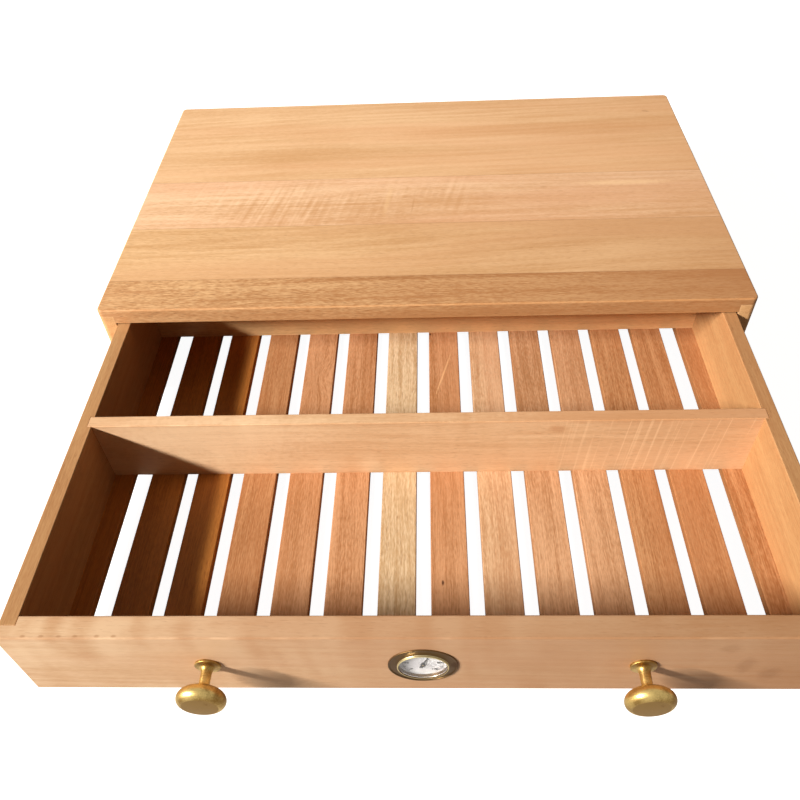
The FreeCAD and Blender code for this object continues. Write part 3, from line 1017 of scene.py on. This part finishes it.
CASE_TAN = Timber(pale=tint(239, 198, 150), deep=tint(202, 154, 103), blush=tint(224, 173, 127))
# Its dark arris tone is painted shade, which dims the highlight on the front edge's rounded arris.
CASE_FLECKED = Timber(
    pale=tint(230, 186, 135),
    deep=tint(181, 128, 81),
    blush=tint(206, 151, 103),
    worn=tint(198, 142, 90),
    wear=0.5,
    fleck_depth=1.6,
    streak_depth=0.9,
    band_depth=0.9,
    pore_depth=0.5,
)
CASE_CURLY = Timber(pale=tint(247, 208, 168), deep=tint(207, 157, 110), blush=tint(234, 180, 142))
CASE_SMOOTH = Timber(
    pale=tint(243, 203, 158),
    deep=tint(205, 155, 104),
    blush=tint(231, 178, 133),
    band_depth=0.45,
    cloud_depth=0.7,
    fleck_depth=0.4,
    pore_depth=0.08,
    streak_depth=0.42,
)
CASE_SIDE = Timber(pale=tint(226, 178, 124), deep=tint(188, 134, 84), blush=tint(210, 154, 104))
CASE_HIDDEN = Timber(
    pale=tint(218, 174, 126),
    deep=tint(178, 128, 84),
    blush=tint(200, 148, 104),
    pore_depth=0.5,
)
# Its dark arris tone is painted shade, which dims the highlight on the front's rounded top arris.
DRAWER_FACE = Timber(
    pale=tint(221, 188, 151),
    deep=tint(191, 147, 107),
    blush=tint(208, 164, 128),
    worn=tint(150, 104, 68),
    wear=0.55,
    streak_depth=0.35,
    fleck_depth=0.4,
    band_depth=0.4,
    pore_depth=0.1,
    sheen=0.12,
)
DRAWER_SIDE = Timber(
    pale=tint(193, 150, 102),
    deep=tint(156, 106, 64),
    blush=tint(179, 124, 80),
    worn=tint(206, 156, 110),
    band_depth=0.5,
    streak_depth=0.4,
    ring_depth=0.04,
    fleck_depth=0.4,
)
# Painted light: the sides' wood made much paler, which lightens the back where the top casts shade on
# it.
BRIGHTENED_DRAWER_BACK = replace(
    DRAWER_SIDE,
    pale=tint(240, 200, 144),
    deep=tint(195, 140, 91),
    blush=tint(224, 166, 115),
    worn=Timber.worn,
)
DRAWER_DIVIDER = Timber(
    pale=tint(233, 195, 153),
    deep=tint(197, 150, 107),
    blush=tint(223, 176, 134),
    worn=tint(196, 142, 96),
    wear=0.5,
    fleck_depth=0.3,
    streak_depth=0.5,
)
BRASS = TurnedMetal(tint(240, 207, 130), tint(150, 114, 58), 0.3, 0.46)
# Painted reflection shade: a very dark tone over nearly the whole bezel stands in for the dark
# surroundings that it reflects.
BEZEL_BRASS = TurnedMetal(tint(240, 222, 170), tint(92, 60, 26), 0.34, 0.46, 0.94)
MOVEMENT_BRASS = TurnedMetal(tint(206, 172, 104), tint(158, 126, 70), 0.3, 0.45)
STEEL = TurnedMetal(tint(196, 198, 200), tint(138, 140, 142), 0.28, 0.45)
COIL_METAL = TurnedMetal(tint(176, 150, 118), tint(120, 100, 78), 0.3, 0.5)
SLEEVE_RUBBER = Coating(tint(34, 34, 35), tint(46, 45, 44), 0.72)
# Painted shade: the white dial is given a grey, which stands in for the shade of the bezel over it.
SHADED_DIAL_ENAMEL = Coating(tint(192, 188, 188), tint(168, 164, 167), 0.5, 0.05)
POINTER_PAINT = Coating(tint(10, 10, 11), tint(20, 20, 21), 0.55, 0.08)
DIAL_INK = Coating(tint(8, 8, 9), tint(16, 16, 17), 0.7, 0.05)
LENS = ClearPane()


def slat_timber(pale: Colour, deep: Colour, blush: Colour, **changes: float) -> Timber:
    """Makes a timber for the floor, whose slats are all sawn alike and share a dark arris tone, which
    is painted shade.

    Args:
        pale: The timber's pale tone.
        deep: Its deep tone.
        blush: Its warm tone.
        **changes: What else sets this timber apart.

    Returns:
        The timber.
    """
    sawn = {"streak_depth": 0.9, "fleck_depth": 0.9, "ring_spacing": 9 * MM, "pore_depth": 0.15}
    # Painted shade: a dark arris tone draws a shaded line along each slat's edge.
    arris_shade = {"worn": tint(146, 94, 56), "wear": 0.25, "wear_reach": 0.8 * MM}
    return Timber(pale, deep, blush, **(sawn | arris_shade | changes))


class SlatWood(Enum):
    """The woods from which the floor slats were sawn."""

    UMBER = slat_timber(tint(198, 128, 58), tint(159, 94, 37), tint(181, 109, 46))
    RUST = slat_timber(tint(195, 143, 99), tint(154, 98, 56), tint(179, 119, 76))
    HONEY = slat_timber(tint(207, 153, 111), tint(162, 107, 64), tint(190, 130, 87))
    ROSE = slat_timber(tint(213, 165, 125), tint(166, 116, 76), tint(195, 139, 98))
    PEACH = slat_timber(tint(225, 186, 146), tint(181, 133, 92), tint(208, 157, 119))
    STRAW = slat_timber(
        tint(226, 198, 161),
        tint(179, 141, 97),
        tint(211, 178, 135),
        ring_depth=0.13,
        ring_spacing=5 * MM,
        pore_depth=0.35,
    )


# The slats from left to right.
SLAT_LOT = (
    *(SlatWood.UMBER,) * 3,
    SlatWood.RUST,
    *(SlatWood.HONEY,) * 2,
    SlatWood.STRAW,
    SlatWood.HONEY,
    SlatWood.PEACH,
    *(SlatWood.ROSE,) * 2,
    *(SlatWood.RUST,) * 3,
)

# The faces and the edges that the blemishes lie on.
TOP_Z = 0.086
FACE_Y = -0.3867
RIM_Z = 0.0733
SLAT_Z = 0.0233

# In each figure below, the ramp of darkening from start to end is painted shade, which makes the
# board darker towards its right end.
TOP_FIGURES = (
    Figure(
        tan=ShadeRamp(-0.22, 0.23, 0.9, tint(166, 112, 68)),
        blemishes=(
            Blemish((0.005, -0.118, TOP_Z), (0.11, 0.003, 0.02), tint(150, 98, 54), 0.3),
            Blemish((-0.09, -0.137, TOP_Z), (0.09, 0.003, 0.02), tint(160, 106, 60), 0.25),
        ),
    ),
    Figure(tan=ShadeRamp(-0.22, 0.23, 0.58, tint(172, 120, 76))),
    Figure(
        curl=Curl(-0.205, 0.05, 1.05, 4.2 * MM, 0.22),
        tan=ShadeRamp(-0.15, 0.23, 0.42, tint(180, 128, 84)),
        blemishes=(
            Blemish((-0.0272, -0.0176, TOP_Z), (0.003, 0.03, 0.02), tint(240, 200, 150), 0.3, 0.12),
            Blemish((-0.0069, -0.0256, TOP_Z), (0.0009, 0.016, 0.02), tint(184, 130, 80), 0.3, 0.1),
            Blemish((0.165, 0.0, TOP_Z), (0.05, 0.005, 0.02), tint(246, 208, 160), 0.4),
        ),
    ),
    Figure(
        tan=ShadeRamp(-0.15, 0.23, 0.38, tint(180, 126, 80)),
        blemishes=(
            Blemish((0.2043, 0.118, TOP_Z), (0.005, 0.0009, 0.01), tint(120, 74, 40), 0.6, 0.2),
            Blemish((0.10, 0.09, TOP_Z), (0.16, 0.012, 0.02), tint(196, 138, 86), 0.3),
        ),
    ),
)
FACE_FIGURE = Figure(
    curl=Curl(-0.3, 0.3, 1.9, 16 * MM, 0.1),
    # Painted shade: the front darkens towards its right end.
    tan=ShadeRamp(-0.22, 0.22, 0.78, tint(146, 98, 60)),
    blemishes=(
        *(
            Blemish((place, FACE_Y, RIM_Z), (0.0019, 0.0011, 0.004), tint(160, 112, 74), 0.5)
            for place in (-0.2028, -0.1932, -0.1841, -0.1757, -0.1645, -0.1558)
        ),
        Blemish((0.166, FACE_Y, 0.043), (0.006, 0.01, 0.013), tint(128, 86, 54), 0.28),
        Blemish((0.181, FACE_Y, 0.033), (0.008, 0.01, 0.01), tint(128, 86, 54), 0.3),
        Blemish((0.154, FACE_Y, 0.062), (0.008, 0.01, 0.006), tint(132, 90, 56), 0.22),
    ),
)
DIVIDER_FIGURE = Figure(
    curl=Curl(-0.24, 0.1, 0.9, 15 * MM, 0.05),
    # Painted shade: the divider darkens towards its right end.
    tan=ShadeRamp(-0.15, 0.22, 0.2, tint(180, 124, 78)),
    strokes=Strokes(0.085, 0.225, 0.36, -0.08, tint(246, 210, 166)),
    blemishes=(
        # Painted light: a large pale patch that brightens the left part of the divider's face.
        Blemish((-0.13, -0.25, 0.06), (0.09, 0.03, 0.03), tint(254, 220, 180), 0.35),
        Blemish((0.0846, -0.2466, 0.0655), (0.008, 0.02, 0.005), tint(176, 116, 70), 0.4),
        Blemish((0.16, -0.242, RIM_Z), (0.2, 0.03, 0.0009), tint(186, 124, 78), 0.45),
    ),
)
SLAT_FIGURES = {
    5: Figure(knot=(-0.0811, -0.1566, 0.0238)),
    8: Figure(
        blemishes=(
            Blemish((0.0115, -0.3289, SLAT_Z), (0.001, 0.0026, 0.01), tint(70, 34, 16), 0.9),
            Blemish((0.0054, -0.1105, SLAT_Z), (0.0012, 0.0016, 0.01), tint(60, 30, 18), 0.9),
            Blemish((0.0149, -0.1547, SLAT_Z), (0.0009, 0.03, 0.01), tint(238, 186, 134), 0.55, 0.27),
        ),
    ),
}


def dress(frame: dict, node: str, material: Material) -> Piece:
    """Gives a carried-over solid its finish and reports it.

    Args:
        frame: The loaded frame.
        node: The name of the solid's node.
        material: The finish.

    Returns:
        The node's object.
    """
    piece = frame["nodes"][node]
    for index in range(len(piece.data.materials)):
        piece.data.materials[index] = material
    LOG.info("dressed %s with %s", node, material.name)
    return piece


def dress_board(
    frame: dict, node: str, timber: Timber, grain: Grain, seed: int, figure: Figure = Figure()
) -> None:
    """Gives a board a finish that fits its own box.

    Args:
        frame: The loaded frame.
        node: The name of the board's node.
        timber: The kind of board.
        grain: The direction of the grain.
        seed: A number that picks this board's own stretch of wood.
        figure: What else this board shows.
    """
    low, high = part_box(node)
    dress(frame, node, timber.material(node, low, high, grain, seed, figure))


def add_mesh(name: str, mesh: Mesh, material: Material) -> Piece:
    """Makes a piece of a mesh that already holds its place.

    Args:
        name: The piece's name.
        mesh: The mesh.
        material: The piece's finish.

    Returns:
        The piece.
    """
    piece = bpy.data.objects.new(name, mesh)
    mesh.name = name
    mesh.materials.clear()
    mesh.materials.append(material)
    bpy.context.scene.collection.objects.link(piece)
    return piece


def mesh_of(piece: Piece) -> Mesh:
    """Returns the mesh that a piece has once its modifiers or letters are worked out."""
    evaluated = piece.evaluated_get(bpy.context.evaluated_depsgraph_get())
    return bpy.data.meshes.new_from_object(evaluated)


@dataclass
class Carcass:
    """The box that the drawer slides in.

    Attributes:
        frame: The loaded frame.
        top_boards: The top's boards, from front to rear, with their timbers.
        boards: The other boards, each with its timber, its grain and its seed.
        steel_nodes: All steel fasteners, with those of the drawer.
    """

    frame: dict
    top_boards: tuple[tuple[str, Timber], ...] = (
        ("top_board_front", CASE_FLECKED),
        ("top_board_second", CASE_TAN),
        ("top_board_third", CASE_CURLY),
        ("top_board_rear", CASE_SMOOTH),
    )
    boards: tuple[tuple[str, Timber, Grain, int], ...] = (
        ("side_board_left", CASE_SIDE, Grain.UPRIGHT_Y, 11),
        ("side_board_right", CASE_SIDE, Grain.UPRIGHT_Y, 12),
        ("back_panel", CASE_HIDDEN, Grain.UPRIGHT_X, 13),
        ("runner_left", CASE_HIDDEN, Grain.ALONG_Y, 15),
        ("runner_right", CASE_HIDDEN, Grain.ALONG_Y, 16),
        ("cross_rail", CASE_HIDDEN, Grain.ALONG_X, 17),
    )
    steel_nodes: tuple[str, ...] = (
        "runner_screws",
        "rail_screws",
        "knob_screws",
        "knob_washers",
        "floor_pins",
    )

    def dress_top(self) -> None:
        """Finishes the boards of the top, which are glued edge to edge."""
        first, last = self.top_boards[0][0], self.top_boards[-1][0]
        low, front_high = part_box(first)
        _rear_low, rear_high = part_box(last)
        high = Vector((front_high.x, rear_high.y, front_high.z))
        for seed, (node, timber) in enumerate(self.top_boards):
            own_low, own_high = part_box(node)
            glued_low = own_low.y if node != first else -FAR
            glued_high = own_high.y if node != last else FAR
            figure = replace(TOP_FIGURES[seed], glued=(glued_low, glued_high))
            material = timber.material(node, low, high, Grain.ALONG_X, seed + 1, figure)
            dress(self.frame, node, material)

    def build(self) -> None:
        """Finishes the whole carcass."""
        self.dress_top()
        for board in self.boards:
            dress_board(self.frame, *board)
        steel = STEEL.material("screw_steel", Vector())
        for node in self.steel_nodes:
            dress(self.frame, node, steel)


@dataclass
class Drawer:
    """The drawer: four boards, a divider and a slatted floor.

    Attributes:
        frame: The loaded frame.
        heart_depths: How far below the slats their hearts lay, which sets their rings apart.
        slat_glue_depth: How dark the painted shade on each slat's left side face is.
        first_slat_seed: The seed before that of the first slat.
    """

    frame: dict
    heart_depths: tuple[float, ...] = (24 * MM, 35 * MM, 46 * MM, 57 * MM)
    slat_glue_depth: float = 0.5
    first_slat_seed: int = 30

    def dress_boards(self) -> None:
        """Finishes the front, the sides, the back and the divider."""
        rows = (
            ("drawer_front", DRAWER_FACE, Grain.UPRIGHT_X, 21, FACE_FIGURE),
            ("drawer_side_left", DRAWER_SIDE, Grain.UPRIGHT_Y, 22),
            ("drawer_side_right", DRAWER_SIDE, Grain.UPRIGHT_Y, 23),
            ("drawer_back", BRIGHTENED_DRAWER_BACK, Grain.UPRIGHT_X, 24),
            ("drawer_divider", DRAWER_DIVIDER, Grain.UPRIGHT_X, 25, DIVIDER_FIGURE),
        )
        for row in rows:
            dress_board(self.frame, *row)

    def dress_floor(self) -> None:
        """Finishes the slats, each from another plank."""
        for number, wood in enumerate(SLAT_LOT, start=1):
            node = f"floor_slat_{number:02d}"
            low, _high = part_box(node)
            heart = self.heart_depths[number % len(self.heart_depths)]
            # Painted shade darkens each slat's left side face.
            figure = replace(
                SLAT_FIGURES.get(number, Figure()),
                glued=(-FAR, -low.x),
                glue_depth=self.slat_glue_depth,
            )
            timber = replace(wood.value, heart_below=heart)
            seed = self.first_slat_seed + number
            dress_board(self.frame, node, timber, Grain.ALONG_Y, seed, figure)

    def build(self) -> None:
        """Finishes the whole drawer."""
        self.dress_boards()
        self.dress_floor()


@dataclass
class Knobs:
    """The two turned brass knobs on the drawer's front.

    Attributes:
        frame: The loaded frame.
        face_depth: How far the dull face of the head goes back, in metres.
    """

    frame: dict
    face_depth: float = 0.45 * MM

    def build(self) -> None:
        """Finishes each knob around its own axis."""
        for node in ("knob_left", "knob_right"):
            low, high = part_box(node)
            middle = 0.5 * (low + high)
            face_front = low.y + self.face_depth - middle.y
            dress(self.frame, node, BRASS.material(node, middle, face_front))


@dataclass(frozen=True)
class Marks:
    """One set of marks on the dial: how many, and how long and wide each is, in metres."""

    count: int
    length: float
    width: float


@dataclass
class Gauge:
    """The round humidity gauge in the drawer's front. Lengths are in metres.

    Attributes:
        frame: The loaded frame.
        sweep: The angle of the dial's scale.
        fine_marks: The fine marks, two apart on the scale.
        bold_marks: The bold marks, ten apart on the scale.
        mark_radius: How far the outer ends of the marks are from the dial's centre.
        number_radius: How far the middles of the numbers are from the dial's centre.
        number_steps: How many steps of the scale the numbers mark.
        number_height: The height of the numbers.
        number_boldness: How much their strokes are thickened on each side.
        top_number: The number at the end of the scale.
        print_depth: The thickness of the print.
        bright_ring: The radii of the bezel's raised ring, which is rubbed bright.
        centre: The middle of the dial's front.
    """

    frame: dict
    sweep: float = math.radians(270)
    fine_marks: Marks = Marks(51, 0.9 * MM, 0.28 * MM)
    bold_marks: Marks = Marks(11, 1.7 * MM, 0.6 * MM)
    mark_radius: float = 11.2 * MM
    number_radius: float = 8.6 * MM
    number_steps: int = 5
    number_height: float = 2.5 * MM
    number_boldness: float = 0.1 * MM
    top_number: int = 100
    print_depth: float = 0.02 * MM
    bright_ring: Pair = (13.1 * MM, 13.6 * MM)
    centre: Vector = Vector()

    def __post_init__(self) -> None:
        """Finds the middle of the dial's front."""
        low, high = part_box("gauge_dial")
        self.centre = Vector((0.5 * (low.x + high.x), low.y, 0.5 * (low.z + high.z)))

    def marks_tree(self) -> Tree:
        """Builds the geometry nodes that set marks around an arc.

        Returns:
            The tree, whose inputs are the marks' number, radius, sweep, sizes and ink.
        """
        tree = bpy.data.node_groups.new("Dial Marks", "GeometryNodeTree")
        sockets = {
            "Marks": "NodeSocketInt",
            "Radius": VALUE,
            "Sweep": VALUE,
            "Size": VECTOR,
            "Centre": VECTOR,
            "Ink": "NodeSocketMaterial",
        }
        for name, kind in sockets.items():
            tree.interface.new_socket(name, in_out="INPUT", socket_type=kind)
        tree.interface.new_socket("Geometry", in_out="OUTPUT", socket_type="NodeSocketGeometry")
        bench = NodeBench(tree)
        given = bench.add("NodeGroupInput").outputs
        index = bench.add("GeometryNodeInputIndex").outputs[0]
        share = bench.math("DIVIDE", index, bench.minus(given["Marks"], 1.0))
        angle = bench.times(bench.minus(share, 0.5), given["Sweep"])
        spoke = bench.join(bench.math("SINE", angle), 0.0, bench.math("COSINE", angle))
        reach = {0: spoke, "Scale": given["Radius"]}
        reached = bench.add("ShaderNodeVectorMath", reach, operation="SCALE").outputs[0]
        line = bench.add("GeometryNodeMeshLine", {"Count": given["Marks"]}).outputs[0]
        spot = bench.vector("ADD", reached, given["Centre"])
        spots = bench.add("GeometryNodeSetPosition", {"Geometry": line, "Position": spot})
        turn = bench.add("FunctionNodeEulerToRotation", {0: bench.join(0.0, angle)}).outputs[0]
        mark = bench.add("GeometryNodeMeshCube", {"Size": given["Size"]}).outputs[0]
        places = {"Points": spots.outputs[0], "Instance": mark, "Rotation": turn}
        placed = bench.add("GeometryNodeInstanceOnPoints", places).outputs[0]
        real = bench.add("GeometryNodeRealizeInstances", {0: placed}).outputs[0]
        inking = {"Geometry": real, "Material": given["Ink"]}
        inked = bench.add("GeometryNodeSetMaterial", inking).outputs[0]
        bench.add("NodeGroupOutput", {0: inked})
        return tree

    def add_print(self, name: str, mesh: Mesh, ink: Material) -> None:
        """Adds printed marks or numbers, which ride on the drawer, and reports them.

        Args:
            name: The piece's name.
            mesh: The print.
            ink: The print's material.
        """
        piece = add_mesh(name, mesh, ink)
        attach(piece, "drawer")
        LOG.info("made %s, which rides on the drawer", name)

    def add_marks(self, name: str, marks: Marks, tree: Tree, ink: Material) -> None:
        """Prints one set of marks on the dial.

        Args:
            name: The piece's name.
            marks: The marks.
            tree: The geometry nodes that set marks around an arc.
            ink: The print's material.
        """
        carrier = add_mesh(name + "_carrier", bpy.data.meshes.new(name), ink)
        modifier = carrier.modifiers.new("Marks", "NODES")
        modifier.node_group = tree
        values = {
            "Marks": marks.count,
            "Radius": self.mark_radius - 0.5 * marks.length,
            "Sweep": self.sweep,
            "Size": (marks.width, self.print_depth, marks.length),
            "Centre": tuple(self.centre - Vector((0.0, self.print_depth, 0.0))),
            "Ink": ink,
        }
        for item in tree.interface.items_tree:
            if item.name in values:
                modifier[item.identifier] = values[item.name]
        mesh = mesh_of(carrier)
        bpy.data.objects.remove(carrier)
        self.add_print(name, mesh, ink)

    def add_numbers(self, ink: Material) -> None:
        """Prints the numbers around the scale.

        Args:
            ink: The print's material.
        """
        joined = bmesh.new()
        stand_up = Matrix.Rotation(QUARTER_TURN, 4, "X")
        for step in range(self.number_steps + 1):
            angle = (step / self.number_steps - 0.5) * self.sweep
            text = bpy.data.curves.new(f"number_{step}", "FONT")
            text.body = str(step * self.top_number // self.number_steps)
            text.size = self.number_height
            text.align_x = "CENTER"
            text.align_y = "CENTER"
            text.extrude = 0.5 * self.print_depth
            text.offset = self.number_boldness
            writer = bpy.data.objects.new(f"number_{step}", text)
            bpy.context.scene.collection.objects.link(writer)
            mesh = mesh_of(writer)
            right = self.number_radius * math.sin(angle)
            up = self.number_radius * math.cos(angle)
            spot = self.centre + Vector((right, -self.print_depth, up))
            mesh.transform(Matrix.Translation(spot) @ stand_up)
            joined.from_mesh(mesh)
            bpy.data.objects.remove(writer)
        mesh = bpy.data.meshes.new("dial_numbers")
        joined.to_mesh(mesh)
        joined.free()
        self.add_print("dial_numbers", mesh, ink)

    def build(self) -> None:
        """Finishes the gauge and prints its dial."""
        metals = {
            "gauge_housing": STEEL,
            "gauge_plate": MOVEMENT_BRASS,
            "gauge_stud": MOVEMENT_BRASS,
            "gauge_coil": COIL_METAL,
            "gauge_arbor": MOVEMENT_BRASS,
        }
        for node, metal in metals.items():
            dress(self.frame, node, metal.material(node, self.centre))
        bezel = BEZEL_BRASS.material("gauge_bezel", self.centre, bead=self.bright_ring)
        dress(self.frame, "gauge_bezel", bezel)
        dress(self.frame, "gauge_sleeve", SLEEVE_RUBBER.material("sleeve_rubber"))
        dress(self.frame, "gauge_dial", SHADED_DIAL_ENAMEL.material("dial_enamel"))
        dress(self.frame, "gauge_pointer", POINTER_PAINT.material("pointer_paint"))
        lens = dress(self.frame, "gauge_lens", LENS.material("lens"))
        lens.visible_shadow = False
        ink = DIAL_INK.material("dial_ink")
        tree = self.marks_tree()
        self.add_marks("dial_marks_fine", self.fine_marks, tree, ink)
        self.add_marks("dial_marks_bold", self.bold_marks, tree, ink)
        self.add_numbers(ink)


@dataclass
class Studio:
    """The floor, the light and the camera. Lengths are in metres and the power in watts.

    Attributes:
        eye: Where the camera stands.
        pitch: How far it looks down.
        yaw: How far it is turned to the left.
        roll: How far it is tilted to the side.
        focal_length: The lens's focal length, in millimetres.
        sensor: The width of the sensor, in millimetres.
        clip: The nearest and the farthest distance that the camera sees.
        floor_size: The length of the floor's sides.
        floor_drop: How far the floor lies below the box, to clear its feet.
        floor_waves: The floor's soft clouds.
        floor_greys: The two greys of the clouds.
        floor_roughness: How dull the floor is.
        floor_glow: How brightly the floor shines to the camera.
        strip_middle: Where the strip light hangs.
        strip_travel: The direction in which it shines.
        strip_length: The strip light's length.
        strip_width: The strip light's width.
        strip_power: The strip light's power.
        strip_colour: The strip light's colour.
        sky_colour: The colour with which the sky lights the box.
        sky_strength: How strongly the sky lights the box.
        sky_gloss: How bright the sky is in mirror images.
    """

    eye: Vector = Vector((7.4 * MM, -562.5 * MM, 435.3 * MM))
    pitch: float = math.radians(47.089)
    yaw: float = math.radians(3.636)
    roll: float = math.radians(-3.450)
    focal_length: float = 34.91
    sensor: float = 36.0
    clip: Pair = (0.01, 50.0)
    floor_size: float = 12.0
    floor_drop: float = 0.2 * MM
    floor_waves: Waves = Waves(3.0, 3.0)
    floor_greys: Pair = (0.42, 0.46)
    floor_roughness: float = 0.9
    floor_glow: float = 0.96
    strip_middle: Vector = Vector((-7.0, -3.8, 4.5))
    strip_travel: Vector = Vector((5.0, 1.0, -3.0))
    strip_length: float = 3.0
    strip_width: float = 0.6
    strip_power: float = 1955.0
    strip_colour: Triple = (1.0, 0.97, 0.93)
    sky_colour: Colour = (1.0, 0.74, 0.5, 1.0)
    sky_strength: float = 0.11
    sky_gloss: float = 0.6

    def lay_floor(self) -> None:
        """Lays a plain pale floor that reads as white to the camera."""
        mesh = bpy.data.meshes.new("floor")
        half = 0.5 * self.floor_size
        corners = [(-half, -half, 0), (half, -half, 0), (half, half, 0), (-half, half, 0)]
        mesh.from_pydata(corners, [], [(0, 1, 2, 3)])
        material, bench, shader = new_material("floor_paper")
        cloud = bench.noise(object_place(bench), self.floor_waves)
        greys = [(grey, grey, grey, 1.0) for grey in self.floor_greys]
        seen = bench.add("ShaderNodeLightPath").outputs["Is Camera Ray"]
        bench.feed(shader, {"Base Color": bench.mix(cloud, *greys), "Emission Color": WHITE})
        bench.feed(shader, {"Roughness": self.floor_roughness})
        bench.feed(shader, {"Emission Strength": bench.times(seen, self.floor_glow)})
        floor = add_mesh("floor", mesh, material)
        floor.location.z = -self.floor_drop

    def hang_light(self) -> None:
        """Hangs a strip light to the left."""
        strip = bpy.data.lights.new("strip_light", "AREA")
        strip.shape = "RECTANGLE"
        strip.size = self.strip_length
        strip.size_y = self.strip_width
        strip.energy = self.strip_power
        strip.color = self.strip_colour
        lamp = bpy.data.objects.new("strip_light", strip)
        lamp.location = self.strip_middle
        lamp.rotation_euler = self.strip_travel.to_track_quat("-Z", "Y").to_euler()
        bpy.context.scene.collection.objects.link(lamp)

    def set_sky(self) -> None:
        """Sets a weak warm sky, which is white to the camera and in mirror images."""
        world = bpy.data.worlds.new("sky")
        world.use_nodes = True
        world.node_tree.nodes.clear()
        bench = NodeBench(world.node_tree)
        path = bench.add("ShaderNodeLightPath").outputs
        seen = path["Is Camera Ray"]
        mirrored = path["Is Glossy Ray"]
        plain = bench.math("MAXIMUM", seen, mirrored)
        more = self.sky_gloss - self.sky_strength
        strength = bench.math("MULTIPLY_ADD", mirrored, more, self.sky_strength)
        sources = {
            "Color": bench.mix(plain, self.sky_colour, WHITE),
            "Strength": bench.math("MAXIMUM", seen, strength),
        }
        sky = bench.add("ShaderNodeBackground", sources)
        bench.add("ShaderNodeOutputWorld", {"Surface": sky.outputs[0]})
        bpy.context.scene.world = world

    def set_camera(self) -> None:
        """Looks down on the open drawer from above its front."""
        camera = bpy.data.cameras.new("camera")
        camera.lens = self.focal_length
        camera.sensor_width = self.sensor
        camera.clip_start, camera.clip_end = self.clip
        turn = Matrix.Rotation(self.yaw, 3, "Z")
        ahead = turn @ Vector((0.0, math.cos(self.pitch), -math.sin(self.pitch)))
        up = turn @ Vector((0.0, math.sin(self.pitch), math.cos(self.pitch)))
        right = turn @ Vector((1.0, 0.0, 0.0))
        rolled_right = right * math.cos(self.roll) + up * math.sin(self.roll)
        rolled_up = up * math.cos(self.roll) - right * math.sin(self.roll)
        axes = Matrix((rolled_right, rolled_up, -ahead)).transposed()
        stand = bpy.data.objects.new("camera", camera)
        stand.matrix_world = Matrix.Translation(self.eye) @ axes.to_4x4()
        bpy.context.scene.collection.objects.link(stand)
        bpy.context.scene.camera = stand

    def build(self) -> None:
        """Sets up the whole studio."""
        self.lay_floor()
        self.hang_light()
        self.set_sky()
        self.set_camera()
        bpy.context.scene.view_settings.view_transform = "Standard"


def main() -> None:
    """Builds every sub-assembly in order."""
    logging.basicConfig(level=logging.INFO, format="%(message)s")
    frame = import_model()
    Studio().build()
    Carcass(frame).build()
    Drawer(frame).build()
    Knobs(frame).build()
    Gauge(frame).build()


if __name__ == "__main__":
    main()
